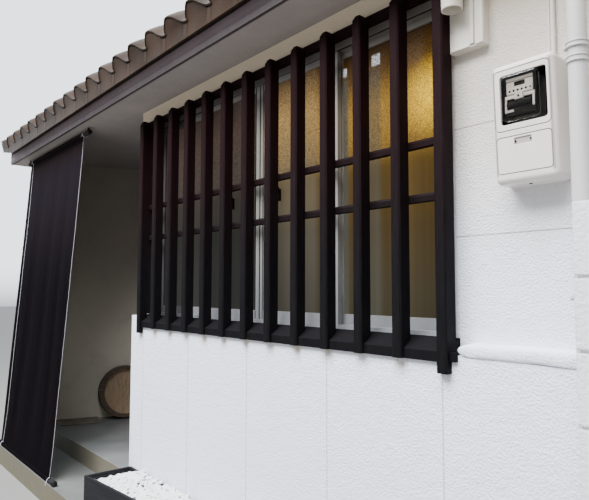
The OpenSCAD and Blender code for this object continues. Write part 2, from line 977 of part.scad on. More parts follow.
module pipe_strap(z) {
    translate([pipe_x, pipe_y, z]) cylinder(d = pipe_dia + 8, h = strap_h);
    translate([pipe_x - strap_h / 2, pipe_y, z]) cube([strap_h, -pipe_y, strap_h]);
}

module downpipe() {
    color("white") {
        translate([pipe_x, pipe_y, 0]) cylinder(d = pipe_dia, h = soffit_z);
        translate([pipe_x, pipe_y, collar_z]) cylinder(d = pipe_dia + 6, h = collar_h);
        pipe_strap(collar_z + collar_h + strap_gap);
        pipe_strap(strap_z);
    }
}

module block_wall() {
    courses = ceil(block_wall_h / course_h);
    color("white")
    difference() {
        block([x_right - block_t, -street_y, 0], [x_right, -proud, block_wall_h]);
        for (k = [1 : courses - 1]) {
            z = block_wall_h - k * course_h;
            block([x_right - block_t - 1, -street_y - 1, z - joint_h],
                  [x_right + 1, -street_y + joint_in, z]);
            block([x_right - block_t - 1, -street_y - 1, z - joint_h],
                  [x_right - block_t + joint_in, -proud - ledge_out - 1, z]);
        }
    }
}

// Plan of the planter, drawn in by a margin on its three outer sides
module planter_plan(margin, back) {
    end_x = planter_x + planter_l;
    front_end_y = planter_y + tan(planter_skew) * planter_l;
    polygon([
        [planter_x + margin, planter_y + margin + tan(planter_skew) * margin],
        [end_x - margin, front_end_y + margin - tan(planter_skew) * margin],
        [end_x - margin, -proud - back], [planter_x + margin, -proud - back]
    ]);
}

module planter_box() {
    color("#26242a")
    difference() {
        along_z(kerb_z, kerb_z + planter_h) planter_plan(0, 0);
        along_z(kerb_z + planter_t, kerb_z + planter_h + 1) planter_plan(planter_t, planter_t);
    }
}

module planter_stones() {
    color("white")
    along_z(kerb_z + planter_t, kerb_z + planter_h - bed_drop) planter_plan(planter_t, planter_t);
}

module round_tub() {
    r = tub_dia / 2;
    color("peru")
    at_lining()
    translate([r * sin(tub_lean), tub_along, platform_z + r * cos(tub_lean)])
    rotate([0, 90 - tub_lean, 0])
    difference() {
        cylinder(r = r, h = tub_d);
        translate([0, 0, tub_base]) cylinder(r = r - stave_t, h = tub_d);
    }
}

// A rod along X through a point of the Y, Z plane
module rod(x0, x1, at) {
    translate([x0, at[0], at[1]]) rotate([0, 90, 0]) cylinder(r = rod_r, h = x1 - x0);
}

module curtain_rods() {
    past_left = 60;
    hanger = 12;
    x0 = curtain_x0 - past_left;
    x1 = curtain_x1 + rod_past;
    color("black") {
        rod(x0, x1, rod_hi);
        rod(x0, x1, rod_lo);
        for (x = [x0 + hanger, x1 - 4 * hanger])
            block([x, rod_hi[0] - hanger / 2, rod_hi[1]],
                  [x + hanger, rod_hi[0] + hanger / 2, soffit_z]);
    }
}

// A flat strip that hangs from the top rod to the bottom rod
module curtain_cloth() {
    side = hang_out * curtain_t / 2;
    end = hang_top + hang_dir * hang_drop;
    color("#232334")
    along_x(curtain_x0, curtain_x1)
    polygon([hang_top - side, hang_top + side, end + side, end - side]);
}

// The cords run down in front of the cloth
module curtain_cords() {
    lean = atan2(hang[0], -hang[1]);
    start = hang_top - hang_out * (curtain_t / 2 + cord_dia / 2 + hang_play);
    color("white")
    for (x = [curtain_x0 + cord_in, curtain_x1 - cord_in])
        translate([x, start[0], start[1]]) rotate([180 + lean, 0, 0])
        cylinder(d = cord_dia, h = hang_drop, $fn = 16);
}

lower_platform();
entrance_platform();
foot_stone();
interior_floor();
front_wall();
wall_ledge();
left_party_wall();
right_party_wall();
porch_side_wall();
porch_return_wall();
porch_back_wall();
porch_ceiling();
entrance_door();
back_wall();
soffit_front();
soffit_back();
fascia_front();
fascia_back();
roof_deck_front();
roof_deck_back();
roof_tiles_front();
roof_tiles_back();
eaves_tiles_front();
eaves_tiles_back();
verge_tiles();
verge_boards();
ridge_tiles();
lattice_bars();
lattice_rails();
lattice_sill();
window_frame();
window_sashes();
window_panes();
back_window();
back_window_panes();
meter_box();
meter_unit();
meter_pane();
service_board();
conduits();
downpipe();
block_wall();
planter_box();
planter_stones();
round_tub();
curtain_rods();
curtain_cloth();
curtain_cords();
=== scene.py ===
"""Looks of the machiya townhouse: materials, tiles, curtain, fittings, light and camera."""
import json
import random
from functools import partial, reduce
from math import cos, hypot, pi, radians, sin, sqrt, tan

import bmesh
import bpy
from mathutils import Matrix, Vector, noise


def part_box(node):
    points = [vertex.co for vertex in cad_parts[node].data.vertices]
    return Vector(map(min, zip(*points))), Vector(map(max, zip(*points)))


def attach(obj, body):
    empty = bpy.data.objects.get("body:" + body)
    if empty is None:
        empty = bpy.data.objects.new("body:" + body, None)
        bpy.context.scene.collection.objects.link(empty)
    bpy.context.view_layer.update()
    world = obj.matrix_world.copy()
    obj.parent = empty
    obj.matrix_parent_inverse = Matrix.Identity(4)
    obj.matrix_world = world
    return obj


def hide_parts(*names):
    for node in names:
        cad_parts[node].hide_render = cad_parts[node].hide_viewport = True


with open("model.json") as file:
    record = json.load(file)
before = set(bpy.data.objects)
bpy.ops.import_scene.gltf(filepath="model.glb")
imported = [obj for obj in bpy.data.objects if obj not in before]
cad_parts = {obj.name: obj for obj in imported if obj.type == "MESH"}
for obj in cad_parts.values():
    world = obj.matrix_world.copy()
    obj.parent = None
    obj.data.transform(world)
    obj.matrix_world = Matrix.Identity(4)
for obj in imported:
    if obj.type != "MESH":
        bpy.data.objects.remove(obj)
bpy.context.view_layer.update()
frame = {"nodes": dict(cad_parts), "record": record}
BODY = "root"

# The camera of the photograph: place in metres, then angles in degrees
CAMERA_AT = Vector((3.76, -2.0, 1.785))
CAMERA_YAW, CAMERA_PITCH, CAMERA_ROLL = 50.08013, 3.87734, 0.12322
CAMERA_FOCAL_PX = 580.0
PHOTO_W = 589

# Roof, in metres. Pitch and spacing are the part's; the separate tiles are thinner than its sheet
ROOF_PITCH = radians(28)
ALONG = Vector((0, cos(ROOF_PITCH), sin(ROOF_PITCH)))
OUT = Vector((0, -sin(ROOF_PITCH), cos(ROOF_PITCH)))
TILE_PITCH, TILE_T, TILE_LAP, TILE_RAISED = 0.265, 0.014, 0.055, 0.015
LAST_PAN = 0.62
ROLL_RISE, ROLL_LEAN = 0.09, 0.26
COURSES = 14
APRON_Y, APRON_FOOT_Z, VALLEY_Z, DECK_TOP_Z = -0.366, 3.262, 3.369, 3.393
EAVES = Vector((0, APRON_Y,
                DECK_TOP_Z + (APRON_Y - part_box("roof_deck_front")[0].y) * tan(ROOF_PITCH)))
RIDGE_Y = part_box("ridge_tiles")[0].y
DEPTH_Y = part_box("roof_tiles_front")[0].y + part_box("roof_tiles_back")[1].y

# A tile across the slope: place from its crest and share of the roll's rise
TILE_WAVE = [
    (-0.041, 0.15), (-0.039, 0.22), (-0.036, 0.38), (-0.031, 0.57), (-0.025, 0.73),
    (-0.017, 0.87), (-0.008, 0.965), (0.0, 1.0), (0.014, 0.998), (0.03, 0.965),
    (0.048, 0.905), (0.066, 0.825), (0.084, 0.725), (0.102, 0.61), (0.12, 0.485),
    (0.138, 0.355), (0.156, 0.235), (0.174, 0.135), (0.192, 0.06), (0.208, 0.015),
    (0.222, 0.0), (0.236, 0.0),
]

# Street front, in metres, the same as the part's
WALL_FACE_Y, RIGHT_X = -0.06, 3.19
BAR_X0, BAR_PITCH, BARS = -0.3535, 0.22725, 13
LINING_X0, PORCH_SKEW, PORCH_DEPTH = -2.876, radians(15), 1.35
PORCH_PLACE = Matrix.Translation((LINING_X0, 0, 0)) @ Matrix.Rotation(-PORCH_SKEW, 4, "Z")
PLATFORM_Z, KERB_Z = 0.344, 0.181
METER_Z, METER_H, METER_FOOT_D, METER_SLANT = 2.16, 0.435, 0.101, 0.021
PIPE_X, PIPE_Y = 2.94, -0.116
PLANTER_SKEW = tan(radians(5))
BED_LOW, BED_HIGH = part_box("planter_stones")

# The curtain's rods: middle of each, radius, and the way from the upper to the lower one
ROD_HI, ROD_LO, ROD_R = Vector((0, -0.184, 3.146)), Vector((0, -0.395, 0.201)), 0.02
ROD_DROP = (ROD_LO - ROD_HI).length
DOWN = (ROD_LO - ROD_HI).normalized()
FRONT = Vector((0, DOWN.z, -DOWN.y))

# The tub: its place in the frame, and the middle of its bottom
TUB_R, TUB_LEAN, TUB_ALONG, TUB_SHIFT = 0.285, radians(8), 0.85, 0.019
TUB_PLACE = (PORCH_PLACE @ Matrix.Translation((TUB_R * sin(TUB_LEAN), TUB_ALONG,
                                               PLATFORM_Z + TUB_R * cos(TUB_LEAN)))
             @ Matrix.Rotation(pi / 2 - TUB_LEAN, 4, "Y"))
TUB_BOTTOM = TUB_PLACE @ Vector((0, TUB_SHIFT, 0.07))

# Scored joints in the render, in metres
JOINT_X0, JOINT_PITCH, JOINTS = -0.32, 0.6686, 5
WALL_JOINTS_Z = (2.437, 1.997)
PORCH_JOINT_Z = 1.55


def put(name, data):
    """A new object in the scene."""
    thing = bpy.data.objects.new(name, data)
    bpy.context.scene.collection.objects.link(thing)
    return thing


def place_camera():
    yaw, pitch, roll = (radians(a) for a in (CAMERA_YAW, CAMERA_PITCH, CAMERA_ROLL))
    ahead = Vector((-sin(yaw) * cos(pitch), cos(yaw) * cos(pitch), sin(pitch)))
    level = Vector((cos(yaw), sin(yaw), 0))
    right = level * cos(roll) + level.cross(ahead) * sin(roll)
    data = bpy.data.cameras.new("camera")
    data.sensor_width = 36
    data.lens = CAMERA_FOCAL_PX / PHOTO_W * data.sensor_width
    data.clip_end = 200
    camera = put("camera", data)
    camera.matrix_world = Matrix.Translation(CAMERA_AT) @ Matrix(
        (right, right.cross(ahead), -ahead)).transposed().to_4x4()
    bpy.context.scene.camera = camera


class NodeGraph:
    """Shorthand for the nodes of a material or of the world."""

    def __init__(self, tree, point):
        self.tree = tree
        self.point = self.add("TexCoord").outputs[point]

    def add(self, kind, inputs=None, **settings):
        """A node with its settings, and a value or a link for each input that is named."""
        node = self.tree.nodes.new("ShaderNode" + kind)
        for key, value in settings.items():
            setattr(node, key, value)
        for key, value in (inputs or {}).items():
            self.feed(node.inputs[key], value)
        return node

    def feed(self, socket, value):
        if isinstance(value, bpy.types.NodeSocket):
            self.tree.links.new(value, socket)
        elif socket.type == "RGBA":
            socket.default_value = (*value, 1)
        else:
            socket.default_value = value

    def stretched(self, x=1.0, y=1.0, z=1.0):
        return self.add("Mapping", {"Vector": self.point, "Scale": (x, y, z)}).outputs[0]

    def noise(self, scale, detail=4.0, roughness=0.55, vector=None, distortion=0.0):
        return self.add("TexNoise", {
            "Vector": vector or self.point, "Scale": scale, "Detail": detail,
            "Roughness": roughness, "Distortion": distortion}).outputs["Fac"]

    def cells(self, scale, out="Distance", vector=None):
        return self.add("TexVoronoi", {"Vector": vector or self.point, "Scale": scale}).outputs[out]

    def ramp(self, value, *stops):
        """Colour of a value, from stops of a place and three channels or one grey."""
        node = self.add("ValToRGB", {"Fac": value})
        elements = node.color_ramp.elements
        for _ in stops[2:]:
            elements.new(0.5)
        for element, (place, *colour) in zip(elements, stops):
            element.position = place
            element.color = (*colour * (3 // len(colour)), 1)
        return node.outputs["Color"]

    def mix(self, share, first, second, mode="MIX"):
        return self.add("Mix", {0: share, 6: first, 7: second}, data_type="RGBA",
                        blend_type=mode).outputs[2]

    def layers(self, colour, *coats):
        """Lays coats over a colour: each has its tint, then the factors of its share."""
        for tint, *factors in coats:
            colour = self.mix(self.times(*factors), colour, tint)
        return colour

    def maths(self, operation, *values):
        return self.add("Math", dict(enumerate(values)), operation=operation).outputs[0]

    def plus(self, *terms):
        return reduce(partial(self.maths, "ADD"), terms)

    def times(self, *factors):
        """A product. A factor (value, low, high) is 0 at low, 1 at high, smooth in between."""
        return reduce(partial(self.maths, "MULTIPLY"), [
            self.between(*f) if isinstance(f, tuple) else f for f in factors])

    def off_line(self, value, line, pitch):
        """Distance to the nearest of evenly spaced lines, of which one is given."""
        return self.maths("PINGPONG", self.maths("SUBTRACT", value, line), pitch / 2)

    def axis(self, letter):
        return self.add("SeparateXYZ", {0: self.point}).outputs["XYZ".index(letter)]

    def share(self, value, low, high, start=0.0, end=1.0, kind="LINEAR"):
        """start at low, end at high, straight in between."""
        return self.add("MapRange", {"Value": value, "From Min": low, "From Max": high,
                                     "To Min": start, "To Max": end},
                        interpolation_type=kind).outputs["Result"]

    def between(self, value, low, high):
        """0 at low, 1 at high, smooth in between."""
        return self.share(value, low, high, kind="SMOOTHSTEP")

    def band(self, value, low, high, soft):
        """1 from low to high, with soft ends."""
        return self.times((value, low - soft, low + soft), (value, high + soft, high - soft))


class Shader(NodeGraph):
    """A material whose nodes work in the frame's metres."""

    def __init__(self, name):
        self.material = bpy.data.materials.new(name)
        self.material.use_nodes = True
        super().__init__(self.material.node_tree, "Object")
        self.principled = self.tree.nodes["Principled BSDF"]

    def set(self, **values):
        for key, value in values.items():
            self.feed(self.principled.inputs[key.replace("_", " ")], value)

    def surface(self, colour, roughness, specular, height=None, depth=0.0, strength=1.0,
                edge=0.0):
        """Colour and gloss, relief of a depth in metres, and edges softened to a radius."""
        self.set(Base_Color=colour, Roughness=roughness, Specular_IOR_Level=specular)
        if height is None:
            return
        relief = {"Height": height, "Distance": depth, "Strength": strength}
        if edge:
            relief["Normal"] = self.add("Bevel", {"Radius": edge}, samples=4).outputs[0]
        self.set(Normal=self.add("Bump", relief).outputs[0])

    def fibre(self, along, grain):
        """Fine grain along X, Y or Z."""
        return self.noise(grain * 7, 7, 0.62, self.squeezed(along), 0.25)

    def squeezed(self, along):
        return self.stretched(*(0.045 if letter == along else 1 for letter in "XYZ"))


# Materials: each function paints a shader


def stipple(s, size):
    """Height of sprayed render: lumps of about a centimetre, finer grit and soft swells."""
    return s.plus(s.noise(88 / size, 2, 0.5), s.times(s.noise(300 / size, 4, 0.6), 0.4),
                  s.times(s.noise(21, 3, 0.55), 0.8))


def render_white(s):
    """Sprayed white render: faint clouds, scored joints and brown runs under the lattice. Its bluish
    cast is partly painted sky light; the warm band up the wall and under the eaves and the dark lines
    in the joints are painted shade.
    """
    x, z = s.axis("X"), s.axis("Z")
    street = s.between(s.axis("Y"), 0.06, 0.004)
    bar = s.off_line(x, BAR_X0, BAR_PITCH)
    joint = s.off_line(x, JOINT_X0, JOINT_PITCH)
    ragged = s.share(s.noise(26, 4, 0.6, s.stretched(1, 1, 0.35)), 0.36, 0.66)
    runs = s.times(ragged, (z, 1.6, 1.56), (x, 2.6, 2.48), street)
    # Painted shade: darker lines in the level joints beside the lattice
    level_joint_shade = [((0.16, 0.13, 0.1), s.band(z, level - 0.0025, level + 0.0025, 0.002),
                     (x, 2.38, 2.4), street, 0.7) for level in WALL_JOINTS_Z]
    colour = s.layers(
        # White with a bluish cast that is partly painted sky light
        s.mix(s.noise(1.3, 5, 0.6), (0.79, 0.805, 0.895), (0.86, 0.88, 0.965)),
        ((0.63, 0.61, 0.57), s.share(s.noise(6.0, 8, 0.7), 0.5, 0.78), 0.13),
        # Painted warm shade up the wall, deeper just under the eaves
        ((0.61, 0.545, 0.45), (z, 1.7, 2.6), street, 0.88),
        ((0.72, 0.595, 0.44), (z, 2.75, 3.02), street, 0.9),
        ((0.42, 0.33, 0.2), (bar, 0.052, 0.004), (z, 1.395, 1.505), runs, 0.75),
        ((0.62, 0.5, 0.28), (bar, 0.105, 0.01), (z, 1.42, 1.51), runs, 0.45),
        # Painted shade in the upright joints
        ((0.42, 0.42, 0.44), (joint, 0.006, 0.001), (z, 1.5, 1.48), street, 0.75),
        *level_joint_shade,
        ((0.47, 0.45, 0.4), (z, 0.55, 0.05), s.share(s.noise(7, 6, 0.65), 0.4, 0.7), 0.35))
    s.surface(colour, 0.8, 0.25, stipple(s, 0.72), 0.0072, 0.85, 0.003)


def porch_plaster(s):
    """Older plaster in the porch, warmer and lighter towards its foot."""
    cloud = s.noise(1.7, 5, 0.55)
    foot = s.mix(cloud, (0.56, 0.51, 0.42), (0.68, 0.63, 0.53))
    colour = s.layers(s.mix(cloud, (0.3, 0.262, 0.218), (0.38, 0.335, 0.285)),
                      (foot, (s.axis("Z"), 2.3, 1.0)),
                      ((0.22, 0.19, 0.15), s.share(s.noise(5, 7, 0.68), 0.52, 0.75), 0.25))
    s.surface(colour, 0.85, 0.2, stipple(s, 0.8), 0.0018, 0.45)


def concrete(s):
    """Trowelled concrete, smooth and bluish on top, beige and mossy towards the ground, with a painted
    highlight along the platform's arris.
    """
    z = s.axis("Z")
    cloud = s.noise(3.2, 7, 0.62)
    top = s.ramp(cloud, (0.28, 0.105, 0.112, 0.112), (0.55, 0.145, 0.152, 0.15),
                 (0.8, 0.185, 0.19, 0.182))
    riser = s.mix(cloud, (0.115, 0.1, 0.072), (0.18, 0.162, 0.12))
    kerb = s.mix(cloud, (0.07, 0.058, 0.034), (0.15, 0.13, 0.086))
    # The platform's arris, where a painted highlight runs
    arris = (PLATFORM_Z - 0.004, PLATFORM_Z - 0.001)
    colour = s.layers(
        top, (riser, (z, arris[1], arris[0]), (z, 0.178, 0.19)),
        (kerb, (z, KERB_Z - 0.001, KERB_Z - 0.006)),
        ((0.115, 0.115, 0.062), (z, 0.13, 0.0), s.share(s.noise(11, 6, 0.7), 0.42, 0.62), 0.8),
        # Painted highlight on the arris
        ((0.42, 0.41, 0.38), s.band(z, *arris, 0.001), 0.7))
    s.surface(colour, s.share(cloud, 0.3, 0.75, 0.38, 0.58), 0.4,
              s.share(s.noise(85, 4, 0.6), 0.3, 0.42), 0.0012, 0.4, 0.005)


def foot_stone(s):
    """Dark, rough slab."""
    colour = s.ramp(s.noise(14, 7, 0.65), (0.3, 0.1, 0.085, 0.065), (0.6, 0.21, 0.185, 0.15),
                    (0.85, 0.34, 0.31, 0.26))
    s.surface(colour, 0.8, 0.25, s.noise(60, 8, 0.65), 0.005, 0.8)


def timber(s, dark, light, along, grain=26.0, boards=0.0, specular=0.35):
    """Timber with its grain along X, Y or Z, in boards of a width across X if one is given."""
    fibre = s.fibre(along, grain)
    figure = s.noise(grain, 4, 0.5, s.squeezed(along), 0.9)
    colour = s.mix(s.share(s.times(s.plus(fibre, figure), 0.5), 0.34, 0.66), dark, light)
    height = fibre
    if boards:
        gap = s.between(s.off_line(s.axis("X"), 0.0, boards), 0.0, 0.0035)
        colour = s.mix(gap, [c * 0.25 for c in dark], colour)
        height = s.times(fibre, gap)
    s.surface(colour, s.share(fibre, 0.3, 0.7, 0.48, 0.7), specular, height, 0.0012, 0.6, 0.003)


def black_stain(s, along, specular=0.05):
    """Black-stained timber: bluish and a little paler low down as painted sky light, reddish up high
    as painted warm shade.
    """
    fibre = s.fibre(along, 30)
    # Painted light by height: sky-lit bluish low down, warm shade up high
    high = s.between(s.axis("Z"), 1.7, 2.9)
    dark = s.mix(high, (0.003, 0.0026, 0.0032), (0.008, 0.002, 0.0026))
    light = s.mix(high, (0.0066, 0.006, 0.007), (0.013, 0.0042, 0.005))
    s.surface(s.mix(s.share(fibre, 0.36, 0.66), dark, light), 0.62, specular, fibre, 0.0014, 0.6,
              0.004)


def painted_board(s, base, dirt, roughness=0.6, specular=0.3, painted_light_from=None):
    """Painted boards. Above a given height the colour is paler, as painted light against the shadow of
    the tiles.
    """
    colour = s.mix(s.share(s.noise(2.6, 6, 0.6), 0.35, 0.75), base, dirt)
    if painted_light_from:
        # Painted light: a paler copy of the colour where the tiles' shadow falls
        pale = s.mix(1.0, colour, (4.0, 3.9, 4.0), "MULTIPLY")
        colour = s.mix(s.between(s.axis("Z"), painted_light_from, painted_light_from + 0.06), colour, pale)
    streaks = s.noise(30, 5, 0.6, s.stretched(1, 1, 0.12))
    s.surface(colour, s.share(streaks, 0.3, 0.7, roughness - 0.08, roughness + 0.12), specular,
              s.noise(110, 4), 0.0006, 0.4, 0.002)


def roof_tile(s):
    """Weathered smoked clay: brown, with a lilac bloom and lichen specks."""
    speck = s.noise(95, 7, 0.7)
    colour = s.layers(
        (0.019, 0.011, 0.0068),
        ((0.036, 0.0225, 0.015), s.share(s.noise(3.3, 1, 0.4), 0.35, 0.65)),
        ((0.032, 0.0235, 0.0215), s.share(s.noise(9, 5, 0.6), 0.45, 0.72), 0.55),
        ((0.07, 0.058, 0.04), s.share(s.noise(42, 6, 0.7), 0.6, 0.72), 0.3))
    s.surface(colour, s.share(speck, 0.3, 0.7, 0.24, 0.42), 0.05, speck, 0.0014, 0.5, 0.003)


def aluminium(s):
    """Satin window frames with painted light and shade: pale above the sill, darker at the head and in
    the first bay.
    """
    streak = s.noise(240, 5, 0.6, s.stretched(1, 1, 0.03))
    # The frames' own grey with painted light and shade by height; the dark band is painted shade under
    # the head
    tone_and_shade_by_height = s.ramp(s.share(s.axis("Z"), 1.58, 3.06), (0.0, 0.17, 0.175, 0.185),
                  (0.25, 0.32, 0.315, 0.3), (0.75, 0.42, 0.38, 0.31),
                  (0.9, 0.105, 0.087, 0.066), (0.93, 0.32, 0.29, 0.25),
                  (0.97, 0.15, 0.13, 0.11))
    colour = s.layers(tone_and_shade_by_height, ((0.55, 0.55, 0.56), s.noise(7, 4), 0.2),
                      # Painted shade over the first bay
                      ((0.012, 0.011, 0.012), (s.axis("X"), 0.25, 0.0), 0.88))
    s.surface(colour, s.share(streak, 0.3, 0.7, 0.32, 0.48), 0.5, streak, 0.0002, 0.3, 0.0015)
    s.set(Metallic=0.25)


def glass_light(s, x, z):
    """Light seen through the street window: gold on the right, grey-brown on the left."""
    height = s.share(z, 1.6, 3.05)
    gold = s.ramp(height, (0.0, 0.056, 0.046, 0.026), (0.13, 0.068, 0.055, 0.031),
                  (0.36, 0.095, 0.062, 0.022), (0.53, 0.13, 0.078, 0.02),
                  (0.63, 0.3, 0.168, 0.03), (0.74, 0.37, 0.205, 0.035),
                  (0.85, 0.105, 0.052, 0.01), (0.95, 0.016, 0.007, 0.003))
    grey = s.ramp(height, (0.0, 0.034, 0.034, 0.031), (0.35, 0.03, 0.03, 0.026),
                  (0.6, 0.062, 0.05, 0.04), (0.8, 0.068, 0.046, 0.034),
                  (0.96, 0.03, 0.02, 0.015))
    pale = s.ramp(height, (0.0, 0.052, 0.049, 0.04), (0.33, 0.09, 0.08, 0.062),
                  (0.56, 0.15, 0.118, 0.07), (0.8, 0.4, 0.25, 0.09),
                  (0.96, 0.05, 0.03, 0.016))
    return s.layers(grey, (gold, (x, 0.96, 1.06)), (pale, s.band(x, 1.08, 1.52, 0.05), 0.85))


def lamp_glow(s, x, z):
    """Share of a lamp's glow behind the last bay."""
    dx = s.maths("DIVIDE", s.maths("SUBTRACT", x, 2.25), 0.17)
    dz = s.maths("DIVIDE", s.maths("SUBTRACT", z, 2.645), 0.145)
    return s.between(s.maths("SQRT", s.plus(s.times(dx, dx), s.times(dz, dz))), 1.5, 0.0)


def sky_glints(s, x, z):
    """Two small patches of sky that sparkle at the top of the panes."""
    first = s.times(s.band(x, 1.872, 1.925, 0.004), s.band(z, 2.874, 2.928, 0.006))
    second = s.times(s.band(x, 1.65, 1.7, 0.004), s.band(z, 2.874, 2.918, 0.006))
    grains = s.share(s.noise(210, 2, 0.5, s.stretched(1, 0.1, 1)), 0.38, 0.56, 0.05, 1.0)
    return s.times(s.plus(first, second), grains)


def amber_glass(s):
    """Patterned amber glass: fine grain that sparkles in front of the lit room. The room's light, the
    lamp's glow and the sky's glints are painted light, and the pane glows with them.
    """
    x, z = s.axis("X"), s.axis("Z")
    flat = s.stretched(1, 0.05, 1)
    mottle = s.noise(210, 3, 0.65, flat)
    folds = s.ramp(s.noise(9, 3, 0.5, s.stretched(1, 0.05, 0.03)), (0.3, 0.74), (0.7, 1.16))
    grains = s.ramp(mottle, (0.32, 0.42), (0.5, 0.92), (0.68, 1.9))
    # Grey strips below the glints, part of the pane's painted glow
    strips = s.plus(s.times(s.band(x, 1.845, 1.925, 0.018), 0.55),
                    s.times(s.band(x, 1.63, 1.708, 0.014), 0.9))
    colour = s.layers(glass_light(s, x, z),
                      ((0.092, 0.092, 0.074), strips, s.band(z, 1.62, 2.86, 0.06)),
                      ((1.15, 0.68, 0.035), lamp_glow(s, x, z)))
    colour = s.mix(1.0, colour, s.mix(s.between(z, 2.34, 2.46), folds, grains), "MULTIPLY")
    colour = s.layers(colour, ((0.75, 0.78, 0.84), sky_glints(s, x, z), 0.95))
    s.surface(s.mix(0.9, colour, (0.0, 0.0, 0.0)), 0.22, 0.15,
              s.plus(s.cells(210, vector=flat), mottle), 0.0012, 0.45)
    # The pane glows: its emission is the painted light of the room, the lamp and the sky
    s.set(IOR=1.5, Emission_Color=colour, Emission_Strength=1.0)


def clear_glass(s):
    """Patterned glass of the back window."""
    s.surface(s.mix(s.noise(3, 3), (0.1, 0.12, 0.12), (0.2, 0.22, 0.22)), 0.12, 0.5,
              s.noise(130, 3, 0.5, s.stretched(1, 0.1, 1)), 0.001, 0.4)
    s.set(IOR=1.5)


def white_plastic(s):
    """Weathered white plastic, creamier up high as painted warm shade of the eaves, and darker in the
    meter's grooves as painted shade.
    """
    x, z = s.axis("X"), s.axis("Z")
    leaning = s.plus(s.axis("Y"), s.times(s.maths("SUBTRACT", z, METER_Z), METER_SLANT / METER_H))
    sunk = s.plus(leaning, METER_FOOT_D)
    colour = s.layers(
        (0.66, 0.61, 0.57),
        ((0.6, 0.55, 0.505), s.share(s.noise(5, 6, 0.6), 0.4, 0.8)),
        ((0.5, 0.488, 0.478), (x, PIPE_X - 0.05, PIPE_X - 0.045)),
        # Painted warm shade of the eaves
        ((0.6, 0.55, 0.45), (z, 2.55, 2.85), 0.7),
        # Painted shade in the grooves round the meter's covers
        ((0.2, 0.18, 0.16), (sunk, 0.0004, 0.0012), (sunk, 0.008, 0.006),
         s.band(x, 2.631, 2.851, 0.001), s.band(z, 2.191, 2.577, 0.001), 0.62))
    s.surface(colour, 0.42, 0.4, s.noise(420, 3), 0.0002, 0.35, 0.0025)


def grey_plastic(s):
    """Black plastic and rubber of the meter and the window fittings."""
    s.surface(s.mix(s.noise(30, 5), (0.004, 0.0035, 0.003), (0.011, 0.009, 0.008)), 0.5, 0.08)


def dark_glass(s):
    """Clear moulded cover, slightly hazy."""
    s.surface((0.93, 0.91, 0.87), s.share(s.noise(24, 4), 0.4, 0.8, 0.0, 0.03), 0.5)
    s.set(Transmission_Weight=1.0, IOR=1.22)


def block_paint(s):
    """Painted concrete block: a thick coat over a pitted face."""
    s.surface(s.mix(s.noise(2.5, 6, 0.6), (0.66, 0.672, 0.705), (0.76, 0.772, 0.805)), 0.68, 0.3,
              s.share(s.noise(70, 5, 0.6), 0.25, 0.6), 0.003, 0.6, 0.01)


def pebbles(s):
    """Washed pebbles, each of its own tone, darker where they lie deep as painted shade."""
    colour = s.layers(s.mix(s.noise(180, 5), (0.66, 0.665, 0.67), (0.8, 0.805, 0.81)),
                      # Painted shade low in the heap
                      ((0.16, 0.15, 0.14), (s.axis("Z"), 0.4185, 0.4122)))
    s.surface(s.mix(0.22, colour, s.cells(34, "Color"), "SOFT_LIGHT"), 0.55, 0.35,
              s.noise(300, 5), 0.0006, 0.4)


def curtain_cotton(s):
    """Near-black purple cotton: plain weave, slubs, lighter from the middle up and reddish on top."""
    x, z = s.axis("X"), s.axis("Z")
    slub = s.noise(60, 5, 0.6, s.stretched(1, 1, 0.02))
    colour = s.layers(
        s.mix(slub, (0.0016, 0.0009, 0.0016), (0.003, 0.0019, 0.003)),
        (s.mix(slub, (0.0085, 0.0062, 0.009), (0.0125, 0.0092, 0.0128)), (z, 1.6, 3.0), 0.8),
        ((0.013, 0.0075, 0.007), (z, 2.85, 3.12), 0.6))
    threads = [s.maths("SINE", s.times(axis, 2 * pi / 0.0022)) for axis in (x, z)]
    s.surface(colour, 0.95, 0.03, s.plus(s.times(*threads), s.times(slub, 2)), 0.0004, 0.4)


def white_cord(s):
    """White twisted cord."""
    twist = s.maths("SINE", s.times(s.plus(s.axis("X"), s.axis("Z")), 520))
    s.surface(s.mix(s.noise(50, 4), (0.5, 0.48, 0.5), (0.66, 0.64, 0.66)), 0.85, 0.2, twist,
              0.0006, 0.6)


def tub_wood(s):
    """Old cedar, dark outside and paler on the inside of its bottom."""
    fibre = s.noise(120, 6, 0.6, s.stretched(1, 0.3, 0.05))
    far = s.add("VectorMath", {0: s.point, 1: TUB_BOTTOM}, operation="DISTANCE").outputs["Value"]
    colour = s.layers(s.mix(s.share(fibre, 0.35, 0.7), (0.26, 0.175, 0.11), (0.4, 0.29, 0.195)),
                      ((0.24, 0.17, 0.11), s.noise(6, 5, 0.6), 0.4),
                      ((0.082, 0.056, 0.037), (far, 0.238, 0.252)))
    s.surface(colour, 0.62, 0.3, fibre, 0.001, 0.5, 0.003)


